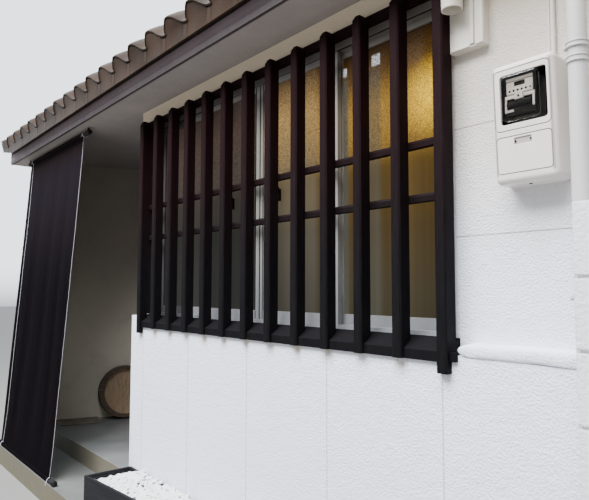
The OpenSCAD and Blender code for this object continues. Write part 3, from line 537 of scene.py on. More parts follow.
def make_materials():
    """A material for every slot. Most painters have their slot's name."""
    plain = (render_white, porch_plaster, concrete, foot_stone, roof_tile, aluminium, amber_glass,
             clear_glass, white_plastic, grey_plastic, dark_glass, block_paint, pebbles, tub_wood,
             curtain_cotton, white_cord)
    painters = {paint.__name__: (paint,) for paint in plain} | {
        "floor_boards": (timber, (0.26, 0.17, 0.09), (0.44, 0.31, 0.18), "Y", 26, 0.09),
        "door_timber": (timber, (0.075, 0.042, 0.022), (0.17, 0.1, 0.055), "Z"),
        # Very dark timber, partly painted shade in the gap under the eaves tiles
        "roof_boards": (timber, (0.028, 0.018, 0.017), (0.06, 0.042, 0.036), "X", 26, 0.12, 0.15),
        "planter_black": (timber, (0.0075, 0.0075, 0.0088), (0.016, 0.0155, 0.018), "X", 30, 0.0, 0.1),
        "soffit_board": (painted_board, (0.305, 0.268, 0.255), (0.25, 0.221, 0.208)),
        # The fascia is painted paler above 3.19 m, as painted light against the tiles' shadow
        "fascia_paint": (painted_board, (0.058, 0.047, 0.049), (0.044, 0.035, 0.037), 0.5, 0.15, 3.19),
        "lattice_timber": (black_stain, "Z"),
        "rod_black": (black_stain, "X", 0.25)}
    made = {}
    for slot, (paint, *values) in painters.items():
        shader = Shader(slot)
        paint(shader, *values)
        made[slot] = shader.material
    return made


def dress_nodes():
    """Gives every CAD node the material of its slot."""
    for part in frame["record"]["subparts"]:
        mesh = frame["nodes"][part["node"]].data
        mesh.materials.clear()
        mesh.materials.append(materials[part["material_slot"]])


# Meshes


def new_mesh(name, verts, faces):
    mesh = bpy.data.meshes.new(name)
    mesh.from_pydata([tuple(v) for v in verts], [], faces)
    return mesh


def ripple(x, y, z):
    """Smooth noise between -1 and 1."""
    return noise.noise(Vector((x, y, z)))


def turns(steps, whole=2 * pi):
    """Angles from nothing to the whole turn, both included."""
    return [whole * j / steps for j in range(steps + 1)]


class Maker:
    """Gathers prisms, boxes, tubes and grids into one mesh."""

    def __init__(self):
        self.verts, self.faces = [], []

    def add(self, verts, faces):
        start = len(self.verts)
        self.verts.extend(Vector(v) for v in verts)
        self.faces.extend(tuple(start + i for i in face) for face in faces)

    def grid(self, rows, closed=False, foot=False, head=False):
        """A surface through rows of points, with a face on the first and on the last row."""
        n, faces = len(rows[0]), []
        for row in range(0, (len(rows) - 1) * n, n):
            for c in range(n if closed else n - 1):
                a, b = row + c, row + (c + 1) % n
                faces.append((a, b, b + n, a + n))
        if foot:
            faces.append(tuple(reversed(range(n))))
        if head:
            faces.append(tuple(range((len(rows) - 1) * n, len(rows) * n)))
        self.add([p for row in rows for p in row], faces)

    def solid(self, rows, closed=True):
        self.grid(rows, closed, True, True)

    def prism(self, ring, offset):
        """A closed outline pushed along an offset."""
        near = [Vector(p) for p in ring]
        self.solid([near, [p + Vector(offset) for p in near]])

    def box(self, low, high):
        (x0, y0, z0), (x1, y1, z1) = low, high
        self.prism([(x0, y0, z0), (x1, y0, z0), (x1, y1, z0), (x0, y1, z0)], (0, 0, z1 - z0))

    def tube(self, path, radius, sides=12):
        """A round bar along a path, with flat ends."""
        path = [Vector(p) for p in path]
        side = (path[1] - path[0]).orthogonal().normalized()
        rings = []
        for point, before, after in zip(path, path[:1] + path, path[1:] + path[-1:]):
            ahead = (after - before).normalized()
            side = (side - ahead * side.dot(ahead)).normalized()
            across = ahead.cross(side)
            rings.append([point + (side * cos(a) + across * sin(a)) * radius
                          for a in turns(sides)[:-1]])
        self.solid(rings)

    def on_slope(self, side):
        """The shape itself for the front slope, or its mirror image for the back one."""
        if side == "front":
            return self
        back = Maker()
        back.add([(v.x, DEPTH_Y - v.y, v.z) for v in self.verts],
                 [tuple(reversed(face)) for face in self.faces])
        return back

    def make(self, name, slot, smooth, node=None, edge=0.0):
        """The mesh as a piece, in place of a node if one is named.

        Edges sharper than smooth, in degrees, stay sharp. An edge width rounds them.
        """
        mesh = new_mesh(name, self.verts, self.faces)
        mesh.validate()
        mesh.update()
        mesh.shade_smooth()
        mesh.set_sharp_from_angle(angle=radians(smooth))
        piece = add_piece(name, mesh, slot)
        if node:
            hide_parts(node)
        if edge:
            round_edges(piece, edge)
        return piece


def add_piece(name, mesh, slot):
    mesh.materials.clear()
    mesh.materials.append(materials[slot])
    thing = put(name, mesh)
    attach(thing, BODY)
    return thing


def apply_modifiers(thing):
    graph = bpy.context.evaluated_depsgraph_get()
    mesh = bpy.data.meshes.new_from_object(thing.evaluated_get(graph))
    thing.modifiers.clear()
    thing.data = mesh


def thicken(thing, thickness):
    wall = thing.modifiers.new("wall", "SOLIDIFY")
    wall.thickness, wall.offset = thickness, 0
    apply_modifiers(thing)


def round_edges(thing, width):
    bevel = thing.modifiers.new("edge", "BEVEL")
    bevel.width, bevel.segments, bevel.limit_method = width, 2, "ANGLE"
    bevel.angle_limit = radians(50)
    bevel.use_clamp_overlap = True
    apply_modifiers(thing)


def carved(name, node, slot, cutters):
    """A copy of a node with the cutters' shapes cut out of it, in place of the node."""
    mesh = bpy.data.meshes.new(name)
    welded = bmesh.new()
    welded.from_mesh(frame["nodes"][node].data)
    bmesh.ops.remove_doubles(welded, verts=welded.verts, dist=1e-5)
    welded.to_mesh(mesh)
    welded.free()
    thing = add_piece(name, mesh, slot)
    knife = put("knife", new_mesh("knife", cutters.verts, cutters.faces))
    cut = thing.modifiers.new("cut", "BOOLEAN")
    cut.operation, cut.solver, cut.object = "DIFFERENCE", "EXACT", knife
    apply_modifiers(thing)
    bpy.data.objects.remove(knife)
    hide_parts(node)


def wedge(cutters, start, end, inward, width, depth):
    """A V-shaped groove along a line on a face; inward points into the wall."""
    start, end, inward = Vector(start), Vector(end), Vector(inward)
    side = (end - start).cross(inward).normalized() * width / 2
    mouth = inward * -0.001
    cutters.prism([start + side + mouth, start + inward * depth, start - side + mouth],
                  end - start)


# Walls


def scored_front_wall():
    """The render's scored joints: upright ones low down, level ones beside the lattice."""
    cutters, joint = Maker(), ((0, 1, 0), 0.006, 0.006)
    for k in range(JOINTS):
        x = JOINT_X0 + JOINT_PITCH * k
        wedge(cutters, (x, WALL_FACE_Y, -0.01), (x, WALL_FACE_Y, 1.6), *joint)
    for z in WALL_JOINTS_Z:
        wedge(cutters, (2.4, 0, z), (RIGHT_X + 0.01, 0, z), *joint)
    carved("front_wall_render", "front_wall", "render_white", cutters)


def scored_porch_wall():
    run = Vector((sin(PORCH_SKEW), cos(PORCH_SKEW), 0))
    start = Vector((LINING_X0, 0, PORCH_JOINT_Z))
    cutters = Maker()
    wedge(cutters, start - run * 0.1, start + run * (PORCH_DEPTH * 1.1),
          (-run.y, run.x, 0), 0.005, 0.003)
    carved("porch_side_plaster", "porch_side_wall", "porch_plaster", cutters)


def trowelled_ledge():
    """The band on the lower wall: uneven, rounded at its left end and rising to the right."""
    low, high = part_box("wall_ledge")
    section = [(0.0, 0.0), (0.3, 0.0), (0.75, 0.01), (0.93, 0.06), (1.0, 0.22), (1.0, 0.55),
               (0.98, 0.75), (0.9, 0.9), (0.76, 0.97), (0.5, 1.0), (0.2, 1.0), (0.0, 1.0)]
    deep, tall = -low.y - 0.0005, high.z - low.z
    middle = low.z + tall * 0.45
    steps, round_end = 150, 0.045
    rows = []
    for k in range(steps + 1):
        x = low.x + (high.x - low.x) * k / steps
        end = min(1.0, (x - low.x) / round_end) ** 0.5
        row = []
        for out, up in section:
            bump_y = 0.003 * ripple(x * 9, up * 2.0, 3.1)
            bump_z = 0.0045 * ripple(x * 7, out * 1.5, 8.4)
            y = -deep * out * (0.9 + 0.1 * end) + bump_y * out
            z = low.z + tall * up + bump_z * (0.4 if up > 0.8 else 1.0)
            z += (0.01 * k / steps - 0.006) * up - 0.002 * (1 - up)
            z = min(middle + (z - middle) * (0.35 + 0.65 * end), high.z + 0.0005)
            row.append((x, min(y, -0.0002), z))
        rows.append(row)
    maker = Maker()
    maker.solid(rows, closed=False)
    maker.make("trowelled_ledge", "render_white", 50, "wall_ledge")


# Roof


def deck_point(x, s, off):
    """A point s up the front slope from the eaves and off above the roof boards."""
    return EAVES + Vector((x, 0, 0)) + ALONG * s + OUT * off


def add_plate(maker, outer, inner):
    """A plate between two surfaces that are given as rows of points."""
    n, far = len(outer[0]), len(outer) * len(outer[0])
    faces = []
    for row in range(0, far - n, n):
        for a in range(row, row + n - 1):
            faces += [(a, a + 1, a + 1 + n, a + n),
                      (far + a + 1, far + a, far + a + n, far + a + 1 + n)]
        end = row + n - 1
        faces += [(row, row + n, far + row + n, far + row),
                  (far + end, far + end + n, end + n, end)]
    for a in range(n - 1):
        b = far - n + a
        faces += [(a + 1, a, far + a, far + a + 1), (b, b + 1, far + b + 1, far + b)]
    maker.add([p for row in outer + inner for p in row], faces)


def tile_columns(node):
    """Place of every tile's crest and the part of the wave that it shows."""
    low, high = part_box(node)
    columns = round((high.x - low.x) / TILE_PITCH - LAST_PAN) + 1
    first = high.x - (columns - 1 + LAST_PAN) * TILE_PITCH
    for column in range(columns):
        wave = TILE_WAVE
        if column == 0:
            wave = [p for p in wave if p[0] >= 0]
        if column == columns - 1:
            end = LAST_PAN * TILE_PITCH
            wave = [p for p in wave if p[0] < end - 0.004] + [(end, 0.19)]
        yield first + column * TILE_PITCH, wave


def tile_row(x, wave, course, part, s, off):
    """A row of points across a tile, part of the way up it; eaves tiles droop and lean."""
    off += 0.002 + TILE_RAISED * (1 - part)
    if course == 0 and s < 0.22:
        off -= 0.021 * (1 - s / 0.22) ** 2
    lean = ROLL_LEAN * (1 - min(1, s / 0.12)) if course == 0 else 0.0
    return [deck_point(x + dx, s + lean * ROLL_RISE * share, ROLL_RISE * share + off)
            for dx, share in wave]


def roof_tiles(side):
    """One slope of separate tiles that lap over the course below and the tile beside."""
    node = "roof_tiles_" + side
    run = (RIDGE_Y - APRON_Y) / cos(ROOF_PITCH)
    exposure = run / COURSES
    rng = random.Random({"front": 3, "back": 7}[side])
    maker = Maker()
    for course in range(COURSES):
        parts = [0, 0.06, 0.14, 0.25, 0.4, 0.62, 1] if course == 0 else [0, 0.012, 1]
        for x, wave in tile_columns(node):
            wobble = rng.uniform(-0.0015, 0.0015)
            slide = rng.uniform(-0.003, 0.003) if course else 0.0
            s0 = course * exposure + slide
            s1 = min((course + 1) * exposure + TILE_LAP, run)
            lower, upper = [], []
            for part in parts:
                s, nose = s0 + (s1 - s0) * part, 0.003 if part == 0 else 0.0
                lower.append(tile_row(x, wave, course, part, s, wobble))
                upper.append(tile_row(x, wave, course, part, s, wobble + TILE_T - nose))
            add_plate(maker, upper, lower)
    maker.on_slope(side).make("tiles_" + side, "roof_tile", 48, node)


def eaves_tiles(side):
    """The fronts of the eaves tiles: each closes its roll and hangs down as an apron."""
    node = "eaves_tiles_" + side
    low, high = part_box(node)
    slant, thick = 0.39, Vector((0, 0.015, 0))
    level_y = deck_point(0, 0.001, TILE_T - 0.026).y
    maker = Maker()
    for x, wave in tile_columns("roof_tiles_" + side):
        top, middle, foot = [], [], []
        last_x = x + wave[-1][0]
        for dx, share in (p for p in wave if p[0] <= 0.2225):
            px = min(x + dx + (0.0015 if dx < 0 else 0.0), last_x)
            height = ROLL_RISE * share
            top.append(deck_point(px, ROLL_LEAN * height + 0.001, height + TILE_T - 0.0235))
            end = max(0.0, min(1.0, (px - low.x) / slant, (high.x - px) / slant))
            bottom = APRON_FOOT_Z + (1 - end) * (VALLEY_Z - 0.03 - APRON_FOOT_Z)
            middle.append(Vector((px, level_y, VALLEY_Z - 0.012)))
            foot.append(Vector((px, level_y + 0.001, bottom)))
        rows = [foot, middle, top]
        add_plate(maker, rows, [[p + thick for p in row] for row in rows])
    maker.on_slope(side).make("eaves_" + side, "roof_tile", 40, node)


def verge_tiles():
    """Flaps along both verges, one for each course, that lap like the tiles."""
    low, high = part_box("verge_tiles")
    flap_t, flap_h, lap, step = 0.018, 0.055, 0.03, 0.0015
    start = (-0.3 - APRON_Y) / cos(ROOF_PITCH)
    run = (RIDGE_Y + 0.09 - APRON_Y) / cos(ROOF_PITCH)
    exposure = (run - start) / COURSES
    drop = Vector((0, 0, flap_h))
    maker = Maker()
    for x0 in (low.x, high.x - flap_t):
        tip = deck_point(x0, start + 0.02, 0.0)
        rings = [[deck_point(x0, 0.004, 0.0), tip, tip - Vector((0, 0, flap_h - 0.006))]]
        for course in range(COURSES):
            s0 = start + course * exposure
            near, far = deck_point(x0, s0, 0.001), deck_point(x0, min(s0 + exposure + lap, run), 0.0)
            rings.append([near, far, far - drop * 0.9, near - drop])
        for k, ring in enumerate(rings):
            shift = Vector((step * (k % 2), 0, 0))
            maker.prism([p + shift for p in ring], (flap_t - step, 0, 0))
    maker.add([(v.x, DEPTH_Y - v.y, v.z) for v in maker.verts], list(maker.faces))
    maker.make("verge_flaps", "roof_tile", 30, "verge_tiles")


def ridge():
    """Stacked ridge courses of short flat tiles under a row of lapped round caps."""
    low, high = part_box("ridge_tiles")
    middle, half, cap_r = (low.y + high.y) / 2, 0.09, 0.075
    courses, course_h, units = 4, 0.03, 22
    cap_z, unit = high.z - cap_r, (high.x - low.x) / units
    maker = Maker()
    for course in range(courses):
        top = cap_z - (courses - 1 - course) * course_h
        foot = top - course_h - (0.04 if course == 0 else 0.0)
        reach = half - course * (half - cap_r) / courses
        for k in range(units + 1):
            left = low.x + (k - 0.5 * (course % 2)) * unit
            x0, x1 = max(low.x, left), min(high.x, left + unit)
            if x1 - x0 > 0.01:
                maker.box((x0 + 0.001, middle - reach + 0.004, foot),
                          (x1 - 0.001, middle + reach - 0.004, top))
                maker.box((x0 + 0.0005, middle - reach, top - 0.013),
                          (x1 - 0.0005, middle + reach, top - 0.0015))
    for k in range(units):
        x0, x1 = low.x + k * unit, min(high.x, low.x + (k + 1) * unit + 0.02)
        lips = ((x0, 0.02), (x0, 0.0), (x0 + 0.03, 0.0), (x0 + 0.034, 0.008), (x1, 0.012), (x1, 0.03))
        maker.grid([[(x, middle - (cap_r - less) * cos(a), cap_z + (cap_r - less) * sin(a))
                     for a in turns(16, pi)] for x, less in lips])
    for x0 in (low.x, high.x - 0.02):
        maker.prism([(x0, middle + cap_r * cos(a), cap_z - 0.002 + cap_r * sin(a))
                     for a in turns(16, pi)], (0.02, 0, 0))
    maker.make("ridge_courses", "roof_tile", 40, "ridge_tiles")


# Curtain


def cloth_away(u, t):
    """How far the cloth stands behind its rods' line, at u across it and t down it."""
    slack = min(1.0, 7 * t) * min(1.0, 9 * (1 - t))
    drift = 0.25 * ripple(t * 2.2, u * 1.4, 6.0)
    fold = 0.5 + 0.5 * sin(2 * pi * (u * 4.2 + drift + 0.12 * sin(7 * u)))
    small = 0.5 + 0.5 * sin(2 * pi * (u * 13.0 + 2 * drift + 0.3 * sin(4 * u)))
    crease = ripple(u * 16.0, t * 7.0, 2.5)
    away = 0.012 * fold ** 1.5 + 0.0014 * small + 0.0026 * max(0.0, t - 0.55) * crease
    taut = 0.35 + 0.65 * min(1.0, min(u, 1 - u) / 0.08)
    return away * slack * taut


def curtain():
    """The hung cloth: wide shallow folds, a sleeve over the top rod, a hem on the lower one."""
    low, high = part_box("curtain_cloth")
    width, wrap_r = high.x - low.x, ROD_R + 0.0016
    columns, rows, arc = 170, 110, turns(14)[1:]
    hang = ROD_DROP - 2 * wrap_r
    spine = [(ROD_HI + (DOWN * cos(a) - FRONT * sin(a)) * wrap_r, 0.0) for a in reversed(arc)]
    spine += [(ROD_HI + DOWN * (wrap_r + hang * r / rows), r / rows) for r in range(rows + 1)]
    spine += [(ROD_LO - (DOWN * cos(a) - FRONT * sin(a)) * wrap_r, 1.0) for a in arc]
    maker = Maker()
    maker.grid([[point - FRONT * cloth_away(c / columns, t)
                 + Vector((low.x + width * c / columns, 0, 0)) for c in range(columns + 1)]
                for point, t in spine])
    cloth = maker.make("curtain", "curtain_cotton", 60)
    thicken(cloth, 0.0012)
    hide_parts("curtain_cloth")


def curtain_cords():
    """White edge cords, tied round both rods with two turns and a short tail."""
    low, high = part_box("curtain_cloth")
    loop_r, cord_r, steps = ROD_R + 0.004, 0.0013, 120
    maker = Maker()
    for x, u, seed in ((low.x + 0.085, 0.053, 1.7), (high.x - 0.012, 0.99, 5.2)):
        path = []
        for k in range(steps + 1):
            t = k / steps
            sway = 0.004 * ripple(t * 34, seed, 0) + 0.006 * ripple(t * 7, seed, 4)
            near_rod = max(0.0, 1 - min(t, 1 - t) / 0.012)
            out = 0.003 + 0.0222 * near_rod ** 2 - cloth_away(u, t)
            path.append(ROD_HI + DOWN * ROD_DROP * t + FRONT * out + Vector((x + sway, 0, 0)))
        maker.tube(path, cord_r, 8)
        for rod, at in ((ROD_HI, x + 0.008), (ROD_LO, x - 0.006)):
            for pitch in (0.0, 0.007):
                maker.tube([rod + Vector((at + pitch * (1 + 0.3 * sin(a)), loop_r * cos(a),
                                          loop_r * sin(a))) for a in turns(24)], cord_r, 8)
            maker.tube([rod + FRONT * (loop_r + 0.003 * j) + DOWN * (0.008 * j)
                        + Vector((at + 0.004 * j, 0, 0)) for j in range(5)], cord_r * 0.9, 8)
    maker.make("edge_cords", "white_cord", 50, "curtain_cords")


def rod_ties():
    """A black tie of three turns and a knot at the lower rod's end."""
    tie_x, tie_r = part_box("curtain_rods")[1].x - 0.03, ROD_R + 0.002
    maker = Maker()
    for k in range(3):
        maker.tube([ROD_LO + Vector((tie_x + 0.006 * k, tie_r * cos(a), tie_r * sin(a)))
                    for a in turns(20)], 0.0035, 8)
    maker.tube([ROD_LO + Vector((tie_x + 0.01 + 0.006 * j, -0.004 * j,
                                 ROD_R + 0.004 - 0.0025 * j * j)) for j in range(5)], 0.004, 8)
    maker.make("rod_ties", "rod_black", 50)


# Window and lattice fittings


def window_fittings():
    """Latches on the meeting stiles, dark strips on the stiles, and a black line under the head that
    is painted shade of the gap there.
    """
    low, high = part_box("window_sashes")
    face = low.y
    latch_foot, pivot_z, lever_top = 2.283, 2.306, 2.362
    maker = Maker()
    for x in (0.738, 1.206):
        maker.box((x - 0.011, face - 0.01, latch_foot), (x + 0.011, face + 0.001, 2.352))
        maker.tube([(x, face - 0.001, pivot_z), (x, face - 0.016, pivot_z)], 0.012, 14)
        maker.box((x - 0.006, face - 0.017, pivot_z), (x + 0.006, face - 0.009, lever_top))
    for x0, x1 in ((0.9715, 0.979), (1.0125, 1.0205), (1.043, 1.0485)):
        maker.box((x0, face - 0.0015, 1.612), (x1, face + 0.001, 3.0))
    head_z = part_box("window_frame")[1].z - 0.038
    # A black strip as painted shade in the gap under the head
    maker.box((low.x, face - 0.0015, head_z - 0.0025), (high.x, face + 0.008, head_z + 0.0005))
    maker.make("window_latches", "grey_plastic", 30, edge=0.002)


def lattice_rails():
    """Rails behind the bars that stop behind the last post, and a batten on the first."""
    low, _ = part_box("lattice_rails")
    run = BAR_X0 + (BARS - 1) * BAR_PITCH - low.x
    maker = Maker()
    for top, tall, cut in ((3.076, 0.047, 0.004), (2.425, 0.036, 0.011), (2.191, 0.036, 0.011)):
        section = ((0, top - tall), (0, top), (low.y + cut, top), (low.y, top - cut),
                   (low.y, top - tall))
        maker.prism([(low.x, y, z) for y, z in section], (run, 0, 0))
    maker.box((low.x, low.y + 0.0005, 1.6), (low.x + 0.052, -0.0005, 3.03))
    maker.make("lattice_rails_cut", "lattice_timber", 30, "lattice_rails")


# Meter and services


def meter_front(x, z, off):
    """A point on the meter box's sloping front, off in front of it."""
    return Vector((x, -METER_FOOT_D - METER_SLANT * (z - METER_Z) / METER_H - off, z))


def rounded_outline(x0, x1, z0, z1, r, steps=6):
    corners = ((x1 - r, z1 - r), (x0 + r, z1 - r), (x0 + r, z0 + r), (x1 - r, z0 + r))
    return [(x + r * cos(a + quarter * pi / 2), z + r * sin(a + quarter * pi / 2))
            for quarter, (x, z) in enumerate(corners) for a in turns(steps, pi / 2)]


def ring_groove(cutters, outline, r, width=0.0032, depth=0.005):
    """A thin groove round a rounded panel on the meter box's front."""
    x0, x1, z0, z1 = outline
    rings = (rounded_outline(x0, x1, z0, z1, r),
             rounded_outline(x0 + width, x1 - width, z0 + width, z1 - width, r - width))
    n, faces = len(rings[0]), []
    for k in range(n):
        j = (k + 1) % n
        faces += [(k, j, n + j, n + k), (2 * n + k, 3 * n + k, 3 * n + j, 2 * n + j),
                  (k, 2 * n + k, 2 * n + j, j), (n + j, 3 * n + j, 3 * n + k, n + k)]
    cutters.add([meter_front(x, z, off) for off in (0.004, -depth) for ring in rings
                 for x, z in ring], faces)


def meter_shell():
    """The meter box with the joints of its two covers, and its screws."""
    cutters = Maker()
    ring_groove(cutters, (2.637, 2.848, 2.349, 2.571), 0.02)
    ring_groove(cutters, (2.639, 2.846, 2.196, 2.33), 0.014)
    carved("meter_shell", "meter_box", "white_plastic", cutters)
    maker = Maker()
    for x in (2.7125, 2.77):
        maker.tube([meter_front(x, 2.309, -0.0028), meter_front(x, 2.309, 0.0008)], 0.0036, 12)
    maker.tube([(2.7425, -0.062, 2.1595), (2.7425, -0.062, 2.1575)], 0.006, 14)
    maker.make("meter_screws", "grey_plastic", 40)


# The works behind the meter's cover: the block, then each plate's left, foot, right and top
# as shares of the block's face, with how far it stands out
WORKS_X, WORKS_Z, WORKS_W, WORKS_H, WORKS_Y = 2.668, 2.405, 0.118, 0.14, -0.094
WORKS_PLATES = [
    (0.08, 0.9, 0.92, 0.97, 0.006), (0.08, 0.72, 0.92, 0.88, 0.004),
    (0.1, 0.55, 0.92, 0.71, 0.007), (0.03, 0.44, 0.36, 0.53, 0.005),
    (0.36, 0.4, 0.62, 0.54, 0.01), (0.62, 0.44, 0.97, 0.53, 0.005),
    (0.03, 0.16, 0.09, 0.44, 0.006), (0.91, 0.16, 0.97, 0.44, 0.006),
    (0.03, 0.1, 0.3, 0.16, 0.006),
]
# Round parts on it: place as shares, start and end in front of the block, radius and sides
WORKS_KNOBS = [(0.2 + 0.13 * k, 0.63, 0.006, 0.0082, 0.0042, 12) for k in range(5)] + [
    (0.86, 0.63, 0.006, 0.0095, 0.003, 10), (0.49, 0.47, 0.008, 0.0115, 0.004, 12)]


def works_point(u, v, off):
    return Vector((WORKS_X + WORKS_W * u, WORKS_Y - off, WORKS_Z + WORKS_H * v))


def meter_works():
    """Plates, counter and drum behind the cover, in a black tray."""
    low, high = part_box("meter_pane")
    white, black = Maker(), Maker()
    black.box((WORKS_X, WORKS_Y, WORKS_Z), (WORKS_X + WORKS_W, -0.02, WORKS_Z + WORKS_H))
    near, deep, wall = low.y + 0.014, -0.012, 0.002
    black.box((low.x, deep, low.z), (high.x, deep + 0.003, high.z))
    for x0, x1, z0, z1 in ((low.x, low.x + wall, low.z, high.z),
                           (high.x - wall, high.x, low.z, high.z),
                           (low.x, high.x, low.z, low.z + wall),
                           (low.x, high.x, high.z - wall, high.z)):
        black.box((x0, near, z0), (x1, deep, z1))
    for u0, v0, u1, v1, out in WORKS_PLATES:
        white.box(works_point(u0, v0, out), works_point(u1, v1, 0.0))
    black.box(works_point(0.34, 0.75, 0.006), works_point(0.68, 0.86, 0.003))
    for u, v, start, end, r, sides in WORKS_KNOBS:
        black.tube([works_point(u, v, start), works_point(u, v, end)], r, sides)
    black.tube([works_point(0.12, 0.29, 0.001), works_point(0.88, 0.29, 0.001)], 0.012, 20)
    white.make("meter_plates", "white_plastic", 30, edge=0.0006)
    black.make("meter_drum", "grey_plastic", 40, edge=0.0006)


def meter_cover():
    """The moulded clear cover over the works."""
    low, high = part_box("meter_pane")
    x0, x1, z0, z1 = low.x + 0.006, high.x - 0.036, low.z + 0.018, high.z - 0.006
    rows = []
    for inset, out in ((0.0, 0.0), (0.0, 0.006), (0.0012, 0.0105), (0.0045, 0.014),
                       (0.01, 0.0155), (0.025, 0.016)):
        corner_r = max(0.004, 0.016 - inset * 0.4)
        outline = rounded_outline(x0 + inset, x1 - inset, z0 + inset, z1 - inset, corner_r)
        rows.append([meter_front(x, z, out - 0.01) for x, z in outline])
    maker = Maker()
    maker.grid(rows, closed=True, head=True)
    cover = maker.make("meter_cover", "dark_glass", 60)
    thicken(cover, 0.0015)
    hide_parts("meter_pane")


def board_fittings():
    """Raised strips, foot and fixings of the service board."""
    low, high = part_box("service_board")
    x0, x1, z0, front = low.x, low.x + 0.154, low.z, -0.038
    maker = Maker()
    for left, right, foot, top, out in (
            (x1 - 0.06, x1 - 0.042, z0 + 0.01, high.z, 0.007),
            (x1 - 0.038, x1 - 0.002, z0 + 0.004, high.z, 0.004),
            (x0 + 0.004, x1 - 0.06, z0 + 0.002, z0 + 0.016, 0.005),
            (x0 + 0.001, x0 + 0.03, z0 + 0.185, z0 + 0.205, 0.014)):
        maker.box((left, front - out, foot), (right, front + 0.001, top))
    maker.make("board_strips", "white_plastic", 30, edge=0.002)


def pipe_fittings():
    """Beads on the downpipe's collar and the screws of its straps."""
    maker = Maker()
    for z, r in ((2.523, 0.0335), (2.5392, 0.0335), (2.5715, 0.0345), (2.5865, 0.0345)):
        maker.tube([(PIPE_X + r * cos(a), PIPE_Y + r * sin(a), z) for a in turns(36)], 0.0022, 8)
    side = PIPE_X - 0.03
    for z in (2.579, 1.759):
        maker.box((side - 0.014, PIPE_Y - 0.006, z - 0.008), (side + 0.002, PIPE_Y + 0.004, z + 0.008))
        maker.tube([(side - 0.008, PIPE_Y - 0.005, z), (side - 0.008, PIPE_Y - 0.011, z)], 0.0045, 12)
    maker.make("pipe_fittings", "white_plastic", 40)


# Street and porch


def heap(x, y):
    """How far the pebbles' heap rises above the planter's bed: most against the wall."""
    along = min(1.0, max(0.0, (x - BED_LOW.x - 0.05) / 0.16))
    across = max(0.0, (y - BED_LOW.y) / (BED_HIGH.y - BED_LOW.y)) ** 1.4
    return along * (0.006 + 0.046 * across)


def pebble_bed():
    """The dark bed that carries the heaped pebbles; its dark colour is painted shade in the gaps
    between them.
    """
    foot_z, rows, steps = BED_HIGH.z - 0.014, 30, 8
    rings = []
    for r in range(rows + 1):
        x = BED_LOW.x + 0.012 + (BED_HIGH.x - BED_LOW.x - 0.02) * r / rows
        front, back = BED_LOW.y + 0.012 + PLANTER_SKEW * (x - BED_LOW.x), BED_HIGH.y - 0.001
        ring = [(x, front, foot_z), (x, back, foot_z)]
        for k in range(steps + 1):
            y = back + (front - back) * k / steps
            ring.append((x, y, BED_HIGH.z - 0.008 + heap(x, y)))
        rings.append(ring)
    maker = Maker()
    maker.solid(rings)
    # Its black slot stands for the shade between the pebbles
    maker.make("pebble_bed", "planter_black", 30)


def heaped_pebbles():
    """White crushed pebbles over the planter's bed."""
    wanted, rng = 1150, random.Random(11)
    round_stone = bmesh.new()
    bmesh.ops.create_icosphere(round_stone, subdivisions=2, radius=1)
    ball = [v.co.copy() for v in round_stone.verts]
    ball_faces = [[v.index for v in f.verts] for f in round_stone.faces]
    round_stone.free()
    maker, count = Maker(), 0
    while count < wanted:
        x = rng.uniform(BED_LOW.x + 0.03, BED_HIGH.x - 0.014)
        y = rng.uniform(BED_LOW.y + 0.014, BED_HIGH.y + 0.004)
        if y < BED_LOW.y + 0.018 + PLANTER_SKEW * (x - BED_LOW.x):
            continue
        count += 1
        size = rng.uniform(0.0105, 0.019)
        place = Vector((x, y, BED_HIGH.z - 0.004 + heap(x, y) + rng.uniform(-0.005, 0.01)))
        turn = Matrix.Rotation(rng.uniform(0, pi), 3, "Z") @ Matrix.Rotation(
            rng.uniform(-0.9, 0.9), 3, "X")
        stretch = Vector((size * rng.uniform(0.9, 1.5), size, size * rng.uniform(0.5, 0.8)))
        lump = Vector((rng.uniform(0, 50), rng.uniform(0, 50), 0))
        stone = []
        for p in ball:
            swell = 1 + 0.3 * noise.noise(p * 1.1 + lump) + 0.1 * noise.noise(p * 3.0 + lump)
            stone.append(place + turn @ (p * stretch) * swell)
        maker.add(stone, ball_faces)
    maker.make("pebbles", "pebbles", 22)


def planter_batten():
    """A batten inside the planter's left end."""
    low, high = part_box("planter_box")
    maker = Maker()
    maker.box((low.x + 0.0205, low.y + 0.03, high.z - 0.06),
              (low.x + 0.032, high.y - 0.022, high.z - 0.022))
    maker.make("planter_batten", "planter_black", 30, edge=0.002)


def tub():
    """The leaning tub: staves with open joints, hoops and a bottom of boards."""
    depth, hole, staves, boards, gap = 0.11, 0.244, 26, 5, radians(0.28)
    stave_r, hoop_r, inside = TUB_R - 0.002, TUB_R - 0.003, hole - 0.0005
    maker = Maker()
    for k in range(staves):
        a0, a1 = (2 * pi * (k + j) / staves for j in (0, 1))
        angles = [a0 + gap + a for a in turns(3, a1 - a0 - 2 * gap)]
        outer = [(cos(a) * stave_r, sin(a) * stave_r, 0) for a in angles]
        inner = [(cos(a) * hole, TUB_SHIFT + sin(a) * hole, 0) for a in reversed(angles)]
        maker.prism(outer + inner, (0, 0, depth - 0.001 * (k % 2)))
    for k in range(boards):
        y0 = -inside + 2 * inside * k / boards + (0.0012 if k else 0)
        y1 = -inside + 2 * inside * (k + 1) / boards
        right = [(sqrt(max(0.0, inside ** 2 - y * y)), y + TUB_SHIFT, 0.004)
                 for y in (y0 + (y1 - y0) * j / 8 for j in range(9))]
        maker.prism(right + [(-x, y, z) for x, y, z in reversed(right)], (0, 0, 0.066))
    for z in (0.03, 0.082):
        maker.tube([(cos(a) * hoop_r, sin(a) * hoop_r, z) for a in turns(96)], 0.0045, 8)
    maker.verts = [TUB_PLACE @ v for v in maker.verts]
    maker.make("stave_tub", "tub_wood", 35, "round_tub")


